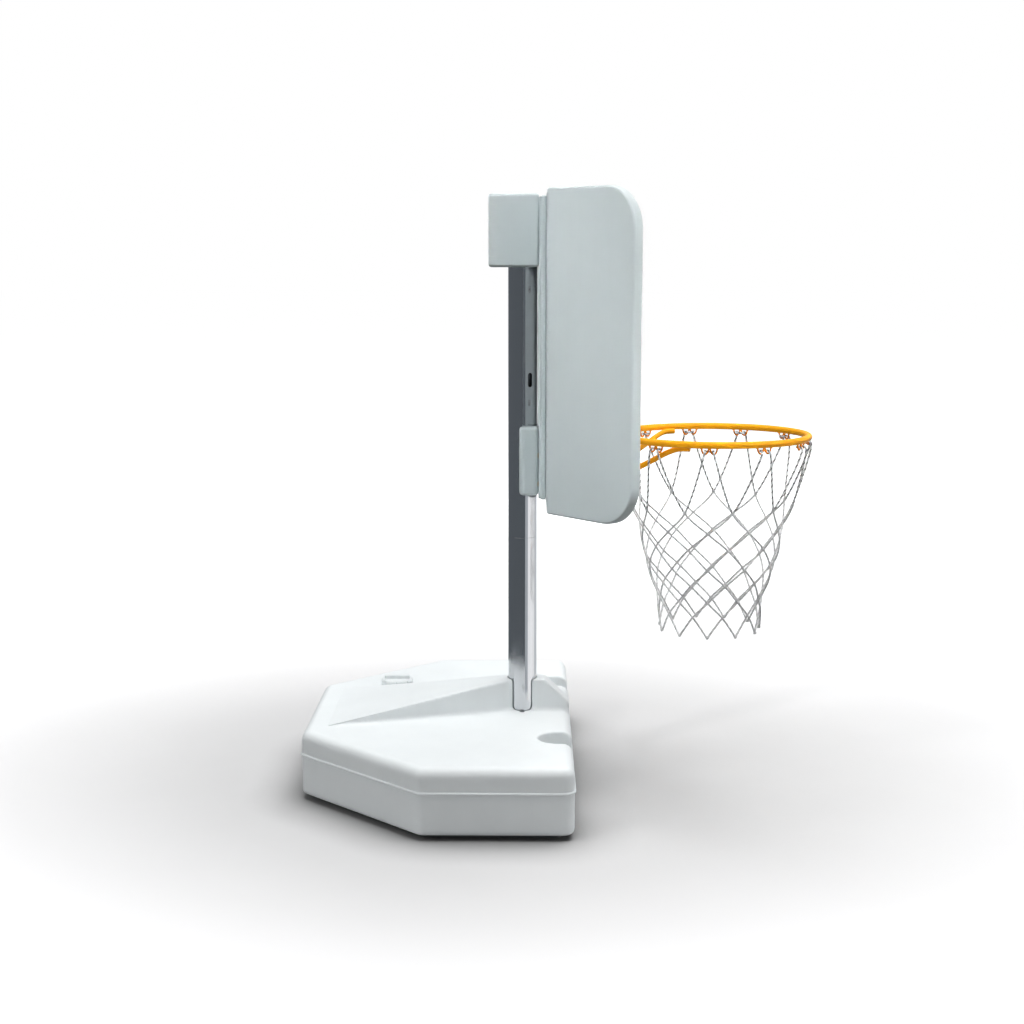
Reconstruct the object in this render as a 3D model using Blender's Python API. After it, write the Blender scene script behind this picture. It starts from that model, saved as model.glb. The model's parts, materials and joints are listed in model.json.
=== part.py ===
"""Free-standing pool basketball hoop, modelled as separate pieces in metres, +Z up.

The origin lies on the floor below the pole's axis. The player stands on the +X side.
The moulded tank carries a two-piece stainless pole. The backboard's hood drops over the
pole's top, and the rim hangs on a bracket bolted through the backboard into the saddle.
"""
import bpy
import bmesh
import numpy as np
from math import acos, cos, hypot, pi, radians, sin, sqrt, tan
from mathutils import Matrix, Vector

# Fits between pieces
GAP = 0.0003
SLIDE_CLEARANCE = 0.0006
CUT_OVERRUN = 0.004

# Tank outline and walls
TANK_FRONT_X = 0.0863
TANK_SIDE_REAR_X = -0.1647
TANK_REAR_X = -0.380
TANK_HALF_WIDTH = 0.365
TANK_REAR_HALF_WIDTH = 0.158
TANK_CORNER_RADIUS = 0.020
TANK_HEIGHT = 0.121
TANK_WALL = 0.006
TANK_TOP_RADIUS = 0.012
TANK_FOOT_RADIUS = 0.004
PLINTH_HEIGHT = 0.008
PLINTH_INSET = 0.012
BEAD_HEIGHT = 0.0795
BEAD_HALF_DEPTH = 0.0022
BEAD_PROUD = 0.0016

# Ridge that runs from the rear deck to the pole and the front edge
RIDGE_REAR_X = -0.3375
RIDGE_REAR_HALF_WIDTH = 0.1265
RIDGE_HALF_WIDTH = 0.0188
RIDGE_RISE = 0.0567
RIDGE_TOP_REAR_X = -0.0257
RIDGE_TOP_FRONT_X = 0.0408
RIDGE_NOSE_DROP = 0.0410
RIDGE_EDGE_RADIUS = 0.004
RIDGE_SINK = 0.004

# Hand notches in the front edge
NOTCH_Y = 0.1886
NOTCH_WIDTH = 0.080
NOTCH_REACH = 0.0587
NOTCH_DEPTH = 0.070

# Filler and drain
FILLER_X = -0.240
FILLER_Y = 0.152
FILLER_RADIUS = 0.021
FILLER_CAP_RADIUS = 0.030
FILLER_CAP_HEIGHT = 0.011
FILLER_CAP_SKIRT = 0.013
FILLER_CAP_WALL = 0.0035
FILLER_GRIP_DEPTH = 0.0022
FILLER_GRIP_COUNT = 8
FILLER_BAR_HALF_WIDTH = 0.0045
FILLER_BAR_HEIGHT = 0.006
DRAIN_HEIGHT = 0.034
DRAIN_RADIUS = 0.0115
DRAIN_PLUG_RADIUS = 0.018
DRAIN_PLUG_HEAD = 0.008
DRAIN_PLUG_SHANK = 0.014
DRAIN_SLOT_WIDTH = 0.004
DRAIN_SLOT_DEPTH = 0.003
GASKET_THICKNESS = 0.002
GASKET_INSET = 0.003

# Pole
POLE_RADIUS = 0.0254
POLE_WALL = 0.0020
POLE_JOINT_Z = 0.4361
POLE_SPIGOT = 0.100
POLE_SPIGOT_LEAD = 0.004
POLE_PLUG_WALL = 0.003
POLE_PLUG_REACH = 0.022
POLE_SLOT_Z = 0.7159
POLE_SLOT_HEIGHT = 0.025
POLE_SLOT_WIDTH = 0.007
POLE_SLOT_X = 0.0129
WELL_WALL = 0.006
WELL_FLOOR = 0.012
WELL_DRAIN_RADIUS = 0.0042
WELL_DRAIN_DEPTH = 0.020

# Backboard
BOARD_BOTTOM_Z = 0.5057
BOARD_TOP_Z = 1.0338
BOARD_BACK_X = 0.0408
BOARD_THICKNESS = 0.020
BOARD_HALF_PANEL = 0.1867
BOARD_WING_X = 0.1715
BOARD_WING_Y = 0.3429
BOARD_TIP_RADIUS = 0.068
BOARD_EDGE_RADIUS = 0.0065

# Rail, hood and saddle behind the board
RAIL_HALF_WIDTH = 0.043
RAIL_END_INSET = 0.002
RAIL_EDGE_RADIUS = 0.002
RAIL_FLANGE_DEPTH = 0.0086
RAIL_STEP = 0.0015
RAIL_OVERLAP = 0.003
BRACKET_WEB = 0.0018
HOOD_REAR_X = -0.0589
HOOD_TOP_INSET = 0.0024
HOOD_HEIGHT = 0.1192
HOOD_TOP_Z = BOARD_TOP_Z - HOOD_TOP_INSET
HOOD_BOTTOM_Z = HOOD_TOP_Z - HOOD_HEIGHT
HOOD_HALF_WIDTH = 0.043
HOOD_CORNER_RADIUS = 0.016
HOOD_EDGE_RADIUS = 0.006
HOOD_CEILING = 0.012
SADDLE_REAR_X = -0.0057
SADDLE_RISE = 0.0091
SADDLE_HEIGHT = 0.1199
SADDLE_BOTTOM_Z = BOARD_BOTTOM_Z + SADDLE_RISE
SADDLE_TOP_Z = SADDLE_BOTTOM_Z + SADDLE_HEIGHT
SADDLE_EDGE_RADIUS = 0.005

# Rim, hooks and braces
RIM_X = 0.3356
RIM_RISE = 0.1117
RIM_Z = BOARD_BOTTOM_Z + RIM_RISE
RIM_RADIUS = 0.1675
RIM_ROD_RADIUS = 0.0060
HOOK_COUNT = 11
HOOK_HALF_PITCH = 0.0072
HOOK_HALF_SPREAD = 0.0135
HOOK_EYE_HALF = 0.0041
HOOK_DROP = 0.0095
HOOK_WIRE_RADIUS = 0.0016
BRACE_RADIUS = 0.0048
BRACE_DROP = 0.0080
BRACE_END_ANGLE = radians(110)
BRACE_HOLD = 0.022
BRACE_ROOT_Y = 0.040
BRACE_ROOT_RISE = 0.0180
BRACE_ROOT_Z = BOARD_BOTTOM_Z + BRACE_ROOT_RISE
BRACE_BEND_SHARES = (
    (0.105, 0.168, 0.120),
    (0.247, 0.353, 0.333),
    (0.507, 0.572, 0.660),
    (0.764, 0.790, 0.885),
)

# Rim bracket and its bolts
PLATE_THICKNESS = 0.004
PLATE_HALF_WIDTH = 0.060
PLATE_RISE = 0.0065
PLATE_BOTTOM_Z = BOARD_BOTTOM_Z + PLATE_RISE
PLATE_CORNER_RADIUS = 0.010
SHELF_HALF_FRONT = 0.028
SHELF_REACH = 0.012
BOLT_Y = 0.0345
BOLT_LOW_RISE = 0.0295
BOLT_HIGH_RISE = 0.0795
BOLT_LOW_Z = BOARD_BOTTOM_Z + BOLT_LOW_RISE
BOLT_HIGH_Z = BOARD_BOTTOM_Z + BOLT_HIGH_RISE
BOLT_RADIUS = 0.0040
BOLT_HEAD_RADIUS = 0.0075
BOLT_HEAD_HEIGHT = 0.0050
BOLT_REACH = 0.016
INSERT_RADIUS = 0.0062
HOOD_BOLT_DROP = 0.061
HOOD_BOLT_Z = HOOD_TOP_Z - HOOD_BOLT_DROP
HOOD_BOLT_REACH = 0.018
SCREW_Y = 0.0315
SCREW_SPACING = 0.040
SCREW_Z_LOW = SADDLE_TOP_Z + SCREW_SPACING
SCREW_Z_HIGH = HOOD_BOTTOM_Z - SCREW_SPACING
SCREW_RADIUS = 0.0026
SCREW_HEAD_RADIUS = 0.0052
SCREW_HEAD_HEIGHT = 0.0026
SCREW_SEAT_DEPTH = 0.0034
SCREW_LENGTH = 0.026

# Net
CORD_RADIUS = 0.0019
CORD_WEAVE = 0.0006
CORD_BEND_ROOM = 0.0019
NET_LENGTH = 0.3315
NET_TIP_RADIUS = 0.0899
NET_DEPTH_SHARES = (0.314, 0.427, 0.518, 0.626, 0.716, 0.810, 0.891, 1.0)
NET_TAPER_SHARES = (0.317, 0.503, 0.590, 0.673, 0.809, 0.942, 0.988, 1.0)

# Facets
TURN_STEPS = 32
SMALL_STEPS = 14
HEX_SIDES = 6
RIM_STEPS = 66
ROD_SIDES = 8
HOOK_SIDES = 5
HOOK_TURN = radians(17)
CORD_SIDES = 4
CORD_TURN = radians(38)
FILLET_STEPS = 3


def clear_scene():
    for obj in list(bpy.data.objects):
        bpy.data.objects.remove(obj, do_unlink=True)


def material(name, colour, roughness, metallic=0.0):
    mat = bpy.data.materials.get(name)
    if mat is None:
        mat = bpy.data.materials.new(name)
        mat.use_nodes = True
        shader = mat.node_tree.nodes["Principled BSDF"]
        shader.inputs["Base Color"].default_value = (*colour, 1.0)
        shader.inputs["Roughness"].default_value = roughness
        shader.inputs["Metallic"].default_value = metallic
        mat.diffuse_color = (*colour, 1.0)
    return mat


def white_plastic(name):
    return material(name, (0.86, 0.90, 0.91), 0.45)


def board_plastic(name):
    return material(name, (0.76, 0.82, 0.84), 0.45)


def stainless(name):
    return material(name, (0.62, 0.64, 0.66), 0.18, 1.0)


def rubber(name):
    return material(name, (0.04, 0.04, 0.045), 0.80)


def orange_coat(name):
    return material(name, (0.95, 0.36, 0.03), 0.38)


def zinc(name):
    return material(name, (0.72, 0.73, 0.74), 0.32, 1.0)


def add_object(name, bm, mat=None):
    """Puts a finished bmesh in the scene as one object with outward faces."""
    bmesh.ops.recalc_face_normals(bm, faces=bm.faces)
    mesh = bpy.data.meshes.new(name)
    bm.to_mesh(mesh)
    bm.free()
    obj = bpy.data.objects.new(name, mesh)
    bpy.context.scene.collection.objects.link(obj)
    if mat is not None:
        mesh.materials.append(mat)
    return obj


def as_cutter(obj):
    obj.hide_render = True
    obj.display_type = "WIRE"
    return obj


def smooth(obj, angle=radians(40)):
    obj.data.shade_smooth()
    obj.data.set_sharp_from_angle(angle=angle)


def boolean(obj, tool, operation="DIFFERENCE"):
    """Cuts or joins with another object, which is then only a tool."""
    mod = obj.modifiers.new(operation.title() + " " + tool.name, "BOOLEAN")
    mod.operation = operation
    mod.solver = "EXACT"
    mod.object = as_cutter(tool)
    return obj


def bevel(obj, width, segments=2, angle=radians(35)):
    mod = obj.modifiers.new("Rounded edges", "BEVEL")
    mod.width = width
    mod.segments = segments
    mod.limit_method = "ANGLE"
    mod.angle_limit = angle
    mod.use_clamp_overlap = True
    return obj


def fillet(points, radii, steps=FILLET_STEPS):
    """Rounds each corner of a closed outline with its own radius."""
    out = []
    count = len(points)
    for i in range(count):
        before, here, after = (Vector(points[j % count]) for j in (i - 1, i, i + 1))
        if radii[i] <= 0:
            out.append(here)
            continue
        inward, outward = (before - here).normalized(), (after - here).normalized()
        half = acos(max(-1.0, min(1.0, inward.dot(outward)))) / 2
        reach = radii[i] / tan(half)
        centre = here + (inward + outward).normalized() * (radii[i] / sin(half))
        start = here + inward * reach - centre
        turn = inward.cross(outward)
        sweep = (pi - 2 * half) * (1 if turn < 0 else -1)
        for k in range(steps + 1):
            a = sweep * k / steps
            out.append(centre + Matrix.Rotation(a, 2) @ start)
    return out


def inset_corners(points, distance):
    """Moves every side of a counter-clockwise outline inwards by one distance."""
    out = []
    count = len(points)
    for i in range(count):
        before, here, after = (Vector(points[j % count]) for j in (i - 1, i, i + 1))
        first, second = (here - before).normalized(), (after - here).normalized()
        normal_a, normal_b = Vector((-first.y, first.x)), Vector((-second.y, second.x))
        mid = (normal_a + normal_b).normalized()
        out.append(here + mid * (distance / mid.dot(normal_a)))
    return out


def loft(name, loops, mat=None):
    """Joins stacked loops of equal length and caps both ends."""
    bm = bmesh.new()
    rings = [[bm.verts.new(p) for p in loop] for loop in loops]
    count = len(rings[0])
    for low, high in zip(rings, rings[1:]):
        for i in range(count):
            j = (i + 1) % count
            bm.faces.new((low[i], low[j], high[j], high[i]))
    bm.faces.new(rings[0][::-1])
    bm.faces.new(rings[-1])
    return add_object(name, bm, mat)


def prism_z(name, outline, low, high, mat=None):
    return loft(name, [[(p[0], p[1], z) for p in outline] for z in (low, high)], mat)


def prism_x(name, outline, rear, front, mat=None):
    """Extrudes an outline of (y, z) points along X."""
    return loft(name, [[(x, p[0], p[1]) for p in outline] for x in (rear, front)], mat)


def box(name, low, high, mat=None):
    outline = [(low[0], low[1]), (high[0], low[1]), (high[0], high[1]), (low[0], high[1])]
    return prism_z(name, outline, low[2], high[2], mat)


def turned(name, profile, mat=None, steps=TURN_STEPS, axis="Z", centre=(0, 0, 0)):
    """Revolves a closed (radius, height) profile about an axis through centre."""
    bm = bmesh.new()
    verts = [bm.verts.new((r, 0, h)) for r, h in profile]
    edges = [bm.edges.new((verts[i - 1], verts[i])) for i in range(len(verts))]
    on_axis = [e for e in edges if max(abs(v.co.x) for v in e.verts) < GAP]
    bmesh.ops.delete(bm, geom=on_axis, context="EDGES_FACES")
    bmesh.ops.spin(bm, geom=list(bm.verts) + list(bm.edges), cent=(0, 0, 0), axis=(0, 0, 1),
                   dvec=(0, 0, 0), angle=2 * pi, steps=steps, use_merge=True)
    bmesh.ops.remove_doubles(bm, verts=bm.verts, dist=GAP / 10)
    turns = {"Z": Matrix.Identity(4), "X": Matrix.Rotation(pi / 2, 4, "Y"),
             "-X": Matrix.Rotation(-pi / 2, 4, "Y")}
    bmesh.ops.transform(bm, matrix=Matrix.Translation(centre) @ turns[axis], verts=bm.verts)
    obj = add_object(name, bm, mat)
    smooth(obj)
    return obj


def disc(radius, low, high):
    """Profile of a plain cylinder."""
    return [(0, low), (radius, low), (radius, high), (0, high)]


def sleeve(inner, outer, low, high):
    """Profile of a plain tube."""
    return [(inner, low), (outer, low), (outer, high), (inner, high)]


def tube_along(bm, points, radius, sides, turn=0.0):
    """Adds a closed round rod along points to a bmesh, with mitred bends."""
    points = [Vector(p) for p in points]
    rings = []
    side = None
    for i, p in enumerate(points):
        ahead = points[min(i + 1, len(points) - 1)] - p
        behind = p - points[max(i - 1, 0)]
        ahead = ahead.normalized() if ahead.length > 0 else behind.normalized()
        behind = behind.normalized() if behind.length > 0 else ahead
        tangent = (ahead + behind).normalized()
        if side is None:
            helper = Vector((0, 0, 1)) if abs(tangent.z) < 0.9 else Vector((1, 0, 0))
            side = tangent.cross(helper).normalized()
        side = (side - tangent * side.dot(tangent)).normalized()
        up = tangent.cross(side)
        wide = radius / max(0.75, tangent.dot(ahead))
        angles = [turn + 2 * pi * k / sides for k in range(sides)]
        rings.append([bm.verts.new(p + (side * cos(a) + up * sin(a)) * wide) for a in angles])
    for low, high in zip(rings, rings[1:]):
        for k in range(sides):
            j = (k + 1) % sides
            bm.faces.new((low[k], low[j], high[j], high[k]))
    bm.faces.new(rings[0][::-1])
    bm.faces.new(rings[-1])


def spline(points, per_span):
    """Points along a smooth Catmull-Rom curve through the given points."""
    pts = [Vector(p) for p in points]
    pts = [2 * pts[0] - pts[1]] + pts + [2 * pts[-1] - pts[-2]]
    out = []
    for i in range(1, len(pts) - 2):
        a, b, c, d = pts[i - 1:i + 3]
        for k in range(per_span):
            t = k / per_span
            out.append(0.5 * (2 * b + (c - a) * t + (2 * a - 5 * b + 4 * c - d) * t * t
                              + (3 * b - a - 3 * c + d) * t * t * t))
    out.append(pts[-2])
    return out


def tank_corners():
    """The tank's plan, counter-clockwise seen from above."""
    return [(TANK_FRONT_X, -TANK_HALF_WIDTH), (TANK_FRONT_X, TANK_HALF_WIDTH),
            (TANK_SIDE_REAR_X, TANK_HALF_WIDTH), (TANK_REAR_X, TANK_REAR_HALF_WIDTH),
            (TANK_REAR_X, -TANK_REAR_HALF_WIDTH), (TANK_SIDE_REAR_X, -TANK_HALF_WIDTH)]


def tank_loop(inset, height):
    """One level of the tank: the plan inset by a distance, with rounded corners."""
    corners = inset_corners(tank_corners(), inset)
    radius = max(TANK_CORNER_RADIUS - inset, TANK_CORNER_RADIUS / 3)
    outline = fillet(corners, [radius] * len(corners))
    return [(p.x, p.y, height) for p in outline]


def rounded_levels(radius, top, inset=0.0, steps=FILLET_STEPS):
    """(inset, height) pairs of an edge rounded over towards the top."""
    angles = [pi / 2 * k / steps for k in range(steps + 1)]
    return [(inset + radius * (1 - cos(a)), top - radius * (1 - sin(a))) for a in angles]


def tank_outer():
    foot = PLINTH_HEIGHT
    levels = [(PLINTH_INSET, 0.0), (PLINTH_INSET, foot), (TANK_FOOT_RADIUS, foot),
              (TANK_FOOT_RADIUS / 3, foot + TANK_FOOT_RADIUS / 3), (0.0, foot + TANK_FOOT_RADIUS),
              (0.0, BEAD_HEIGHT - BEAD_HALF_DEPTH), (-BEAD_PROUD, BEAD_HEIGHT),
              (0.0, BEAD_HEIGHT + BEAD_HALF_DEPTH)]
    levels += rounded_levels(TANK_TOP_RADIUS, TANK_HEIGHT)
    return loft("base_tank", [tank_loop(inset, z) for inset, z in levels],
                white_plastic("moulded tank plastic"))


def ridge(name, shrink):
    """The wedge on the deck, or its hollow when shrunk by the wall."""
    slope = RIDGE_RISE / (RIDGE_TOP_REAR_X - RIDGE_REAR_X)
    taper = (RIDGE_REAR_HALF_WIDTH - RIDGE_HALF_WIDTH) / (RIDGE_TOP_REAR_X - RIDGE_REAR_X)
    foot = TANK_HEIGHT - RIDGE_SINK - shrink
    rear = RIDGE_REAR_X - RIDGE_SINK + shrink
    top = TANK_HEIGHT + RIDGE_RISE - shrink

    def half(x):
        return max(RIDGE_HALF_WIDTH, RIDGE_HALF_WIDTH + (RIDGE_TOP_REAR_X - x) * taper) - shrink

    nose_x = TANK_FRONT_X - CUT_OVERRUN / 2 - shrink
    tail_z = TANK_HEIGHT + (rear - RIDGE_REAR_X) * slope - shrink
    stations = [(rear, max(foot + RIDGE_SINK / 4, tail_z)), (RIDGE_TOP_REAR_X, top),
                (RIDGE_TOP_FRONT_X, top), (nose_x, top - RIDGE_NOSE_DROP)]
    loops = [[(x, -half(x), foot), (x, half(x), foot), (x, half(x), z), (x, -half(x), z)]
             for x, z in stations]
    return loft(name, loops)


def notch(name, side, grow, top):
    """A rounded slot in the front edge, or its outer wall when grown."""
    half = NOTCH_WIDTH / 2 + grow
    rear = TANK_FRONT_X - NOTCH_REACH - grow
    front = TANK_FRONT_X + CUT_OVERRUN + grow
    right, left = side * NOTCH_Y - half, side * NOTCH_Y + half
    corners = [(rear, right), (front, right), (front, left), (rear, left)]
    outline = fillet(corners, [half * 0.98, 0, 0, half * 0.98], 2 * FILLET_STEPS)
    low = TANK_HEIGHT - NOTCH_DEPTH - grow
    return prism_z(name, outline, low, top)


def tank_hollow():
    """The space inside the tank: everything inside its walls but the well and the notches."""
    inset = PLINTH_INSET + TANK_WALL
    ceiling = TANK_HEIGHT - TANK_WALL
    levels = [(inset, TANK_WALL), (inset, PLINTH_HEIGHT + TANK_WALL),
              (TANK_WALL, PLINTH_HEIGHT + 2 * TANK_WALL)]
    levels += rounded_levels(TANK_TOP_RADIUS / 2, ceiling, TANK_WALL)
    hollow = loft("tank_hollow", [tank_loop(i, z) for i, z in levels])
    boolean(hollow, ridge("ridge_hollow", TANK_WALL), "UNION")
    for side, label in ((-1, "right"), (1, "left")):
        boolean(hollow, notch("notch_wall_" + label, side, TANK_WALL, TANK_HEIGHT + RIDGE_RISE))
    well = disc(POLE_RADIUS + SLIDE_CLEARANCE + WELL_WALL, 0, TANK_HEIGHT + RIDGE_RISE + CUT_OVERRUN)
    boolean(hollow, turned("well_wall", well))
    return hollow


def base_tank():
    tank = tank_outer()
    boolean(tank, bevel(ridge("ridge", 0.0), RIDGE_EDGE_RADIUS), "UNION")
    for side, label in ((-1, "right"), (1, "left")):
        boolean(tank, notch("notch_" + label, side, 0.0, TANK_HEIGHT + CUT_OVERRUN))
    boolean(tank, tank_hollow())
    above = TANK_HEIGHT + RIDGE_RISE + CUT_OVERRUN
    boolean(tank, turned("well_bore", disc(POLE_RADIUS + SLIDE_CLEARANCE, WELL_FLOOR, above)))
    drain_low = TANK_HEIGHT - WELL_DRAIN_DEPTH
    boolean(tank, turned("well_drain", disc(WELL_DRAIN_RADIUS, drain_low, TANK_HEIGHT + RIDGE_SINK),
                         steps=SMALL_STEPS, centre=(0, -(POLE_RADIUS + WELL_DRAIN_RADIUS / 2), 0)))
    boolean(tank, turned("filler_hole", disc(FILLER_RADIUS, TANK_HEIGHT - 3 * TANK_WALL, above),
                         centre=(FILLER_X, FILLER_Y, 0)))
    boolean(tank, turned("drain_hole", disc(DRAIN_RADIUS, -CUT_OVERRUN, 4 * TANK_WALL),
                         steps=SMALL_STEPS, axis="X", centre=(TANK_REAR_X, 0, DRAIN_HEIGHT)))
    return tank


def fill_cap():
    """A screw cap whose hollow skirt drops into the filler, with a raised bar to turn it by."""
    seat = TANK_HEIGHT + 2 * GAP + GASKET_THICKNESS
    top = seat + FILLER_CAP_HEIGHT
    neck = FILLER_RADIUS - SLIDE_CLEARANCE
    low = TANK_HEIGHT - FILLER_CAP_SKIRT
    edge = FILLER_GRIP_DEPTH
    profile = [(0, seat), (neck - FILLER_CAP_WALL, seat), (neck - FILLER_CAP_WALL, low), (neck, low),
               (neck, seat), (FILLER_CAP_RADIUS, seat), (FILLER_CAP_RADIUS, top - edge),
               (FILLER_CAP_RADIUS - edge, top), (0, top)]
    cap = turned("fill_cap", profile, white_plastic("cap plastic"))
    for k in range(FILLER_GRIP_COUNT):
        a = 2 * pi * k / FILLER_GRIP_COUNT
        place = (FILLER_CAP_RADIUS * cos(a), FILLER_CAP_RADIUS * sin(a), 0)
        groove = disc(FILLER_GRIP_DEPTH, seat - GAP / 2, top + CUT_OVERRUN)
        boolean(cap, turned(f"cap_grip_{k + 1}", groove, steps=SMALL_STEPS // 2, centre=place))
    reach = FILLER_CAP_RADIUS - 3 * edge
    half = FILLER_BAR_HALF_WIDTH
    bar = box("cap_bar", (-reach, -half, top - edge), (reach, half, top + FILLER_BAR_HEIGHT))
    boolean(cap, bevel(bar, edge / 2), "UNION")
    for obj in [cap] + [m.object for m in cap.modifiers]:
        obj.location = (FILLER_X, FILLER_Y, 0)
    return cap


def fill_gasket():
    low = TANK_HEIGHT + GAP
    profile = sleeve(FILLER_RADIUS, FILLER_CAP_RADIUS - GASKET_INSET, low, low + GASKET_THICKNESS)
    return turned("fill_gasket", profile, rubber("gasket rubber"), centre=(FILLER_X, FILLER_Y, 0))


def drain_plug():
    """A slotted plug screwed into the rear wall, just above the plinth."""
    seat = GASKET_THICKNESS + 2 * GAP
    head = seat + DRAIN_PLUG_HEAD
    shank = DRAIN_RADIUS - SLIDE_CLEARANCE
    edge = DRAIN_SLOT_DEPTH / 2
    profile = [(0, -DRAIN_PLUG_SHANK), (shank - edge, -DRAIN_PLUG_SHANK), (shank, edge - DRAIN_PLUG_SHANK),
               (shank, seat), (DRAIN_PLUG_RADIUS, seat), (DRAIN_PLUG_RADIUS, head - edge),
               (DRAIN_PLUG_RADIUS - edge, head), (0, head)]
    plug = turned("drain_plug", profile, white_plastic("cap plastic"), axis="-X")
    wide = DRAIN_SLOT_WIDTH / 2
    slot = box("plug_slot", (-head - CUT_OVERRUN, -wide, -DRAIN_PLUG_RADIUS - CUT_OVERRUN),
               (-head + DRAIN_SLOT_DEPTH, wide, DRAIN_PLUG_RADIUS + CUT_OVERRUN))
    boolean(plug, slot)
    for obj in (plug, slot):
        obj.location = (TANK_REAR_X, 0, DRAIN_HEIGHT)
    return plug


def drain_gasket():
    profile = sleeve(DRAIN_RADIUS, DRAIN_PLUG_RADIUS - GASKET_INSET / 2, GAP, GAP + GASKET_THICKNESS)
    return turned("drain_gasket", profile, rubber("gasket rubber"), steps=TURN_STEPS // 2, axis="-X",
                  centre=(TANK_REAR_X, 0, DRAIN_HEIGHT))


def pole_top_z():
    return HOOD_TOP_Z - HOOD_CEILING - 2 * GAP - POLE_PLUG_WALL


def lower_pole():
    low = WELL_FLOOR + 2 * GAP + POLE_PLUG_WALL
    profile = sleeve(POLE_RADIUS - POLE_WALL, POLE_RADIUS, low, POLE_JOINT_Z)
    return turned("lower_pole", profile, stainless("polished stainless"))


def pole_plug(name, rim_low, direction):
    """A plastic plug: a flange as wide as the tube and a hollow spigot inside it."""
    spigot = POLE_RADIUS - POLE_WALL - GAP
    seat = POLE_PLUG_WALL
    profile = [(0, 0), (POLE_RADIUS, 0), (POLE_RADIUS, seat), (spigot, seat),
               (spigot, seat + POLE_PLUG_REACH), (spigot - POLE_PLUG_WALL, seat + POLE_PLUG_REACH),
               (spigot - POLE_PLUG_WALL, seat), (0, seat)]
    if direction < 0:
        profile = [(r, -h) for r, h in profile]
    return turned(name, profile, rubber("plug plastic"), centre=(0, 0, rim_low))


def upper_pole():
    """The upper section, swaged to slip inside the lower one below its shoulder."""
    inner = POLE_RADIUS - POLE_WALL
    spigot = inner - SLIDE_CLEARANCE / 2
    low = POLE_JOINT_Z + GAP
    foot = low - POLE_SPIGOT
    lead = POLE_SPIGOT_LEAD
    profile = [(spigot - POLE_WALL, foot), (spigot - lead / 4, foot), (spigot, foot + lead), (spigot, low),
               (POLE_RADIUS, low), (POLE_RADIUS, pole_top_z() - GAP), (inner, pole_top_z() - GAP),
               (inner, low + lead), (spigot - POLE_WALL, low - lead)]
    pole = turned("upper_pole", profile, stainless("polished stainless"))
    half, width = POLE_SLOT_HEIGHT / 2, POLE_SLOT_WIDTH / 2
    corners = [(-width, -half), (width, -half), (width, half), (-width, half)]
    outline = fillet(corners, [width * 0.98] * 4)
    slot = loft("pole_slot", [[(p.x, y, p.y) for p in outline] for y in (-POLE_RADIUS - CUT_OVERRUN, 0)])
    slot.location = (POLE_SLOT_X, 0, POLE_SLOT_Z)
    return boolean(pole, slot)


def board_place(along, depth):
    """Plan position of a point that lies along the board and depth in front of its back."""
    sweep = np.arctan2(BOARD_WING_X - BOARD_BACK_X, BOARD_WING_Y - BOARD_HALF_PANEL)
    beyond = abs(along) - BOARD_HALF_PANEL
    mitre = depth * tan(sweep / 2)
    if beyond < 0:
        share = abs(along) / BOARD_HALF_PANEL
        return BOARD_BACK_X + depth, along - np.sign(along) * mitre * share
    x = BOARD_BACK_X + beyond * sin(sweep) + depth * cos(sweep)
    y = BOARD_HALF_PANEL + beyond * cos(sweep) - depth * sin(sweep)
    if beyond == 0:
        x, y = BOARD_BACK_X + depth, BOARD_HALF_PANEL - mitre
    return x, y * np.sign(along)


def board_outline():
    """Half of the flat board: (distance along, height) from the lower crease to the upper one."""
    wing = hypot(BOARD_WING_X - BOARD_BACK_X, BOARD_WING_Y - BOARD_HALF_PANEL)
    tip = BOARD_HALF_PANEL + wing
    corners = [(BOARD_HALF_PANEL, BOARD_BOTTOM_Z), (tip, BOARD_BOTTOM_Z), (tip, BOARD_TOP_Z),
               (BOARD_HALF_PANEL, BOARD_TOP_Z)]
    radii = [0, BOARD_TIP_RADIUS, BOARD_TIP_RADIUS, 0]
    return [tuple(p) for p in fillet(corners, radii, 3 * FILLET_STEPS)]


def backboard():
    """A flat centre panel between two wings swept forward, as one moulded panel."""
    half = board_outline()
    bm = bmesh.new()
    skins = []
    for depth in (0.0, BOARD_THICKNESS):
        skin = {}
        for side in (-1, 1):
            skin[side] = [bm.verts.new((*board_place(side * s, depth), z)) for s, z in half]
            bm.faces.new(skin[side])
        bm.faces.new((skin[-1][0], skin[1][0], skin[1][-1], skin[-1][-1]))
        skins.append(skin)
    rear, front = skins
    for side in (-1, 1):
        for i in range(len(half) - 1):
            bm.faces.new((rear[side][i], rear[side][i + 1], front[side][i + 1], front[side][i]))
    for i in (0, -1):
        bm.faces.new((rear[-1][i], rear[1][i], front[1][i], front[-1][i]))
    board = add_object("backboard", bm, board_plastic("backboard plastic"))
    bevel(board, BOARD_EDGE_RADIUS)
    return drill_for_fasteners(board)


def bolt_places():
    """(y, z) of the rim bolts and the hood bolts."""
    places = {}
    for side, name in ((-1, "right"), (1, "left")):
        places["rim_low_" + name] = (side * BOLT_Y, BOLT_LOW_Z)
        places["rim_high_" + name] = (side * BOLT_Y, BOLT_HIGH_Z)
        places["hood_" + name] = (side * BOLT_Y, HOOD_BOLT_Z)
    return places


def screw_places():
    places = {}
    for side, name in ((-1, "right"), (1, "left")):
        places["low_" + name] = (side * SCREW_Y, SCREW_Z_LOW)
        places["high_" + name] = (side * SCREW_Y, SCREW_Z_HIGH)
    return places


def rail_back_x():
    return POLE_RADIUS + SLIDE_CLEARANCE + BRACKET_WEB + GAP


def pad_rear_x():
    return POLE_RADIUS + SLIDE_CLEARANCE


def screw_seat_x():
    return pad_rear_x() + SCREW_SEAT_DEPTH


def board_front_x():
    return BOARD_BACK_X + BOARD_THICKNESS


def saddle_front_x():
    return rail_back_x() - GAP


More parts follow.
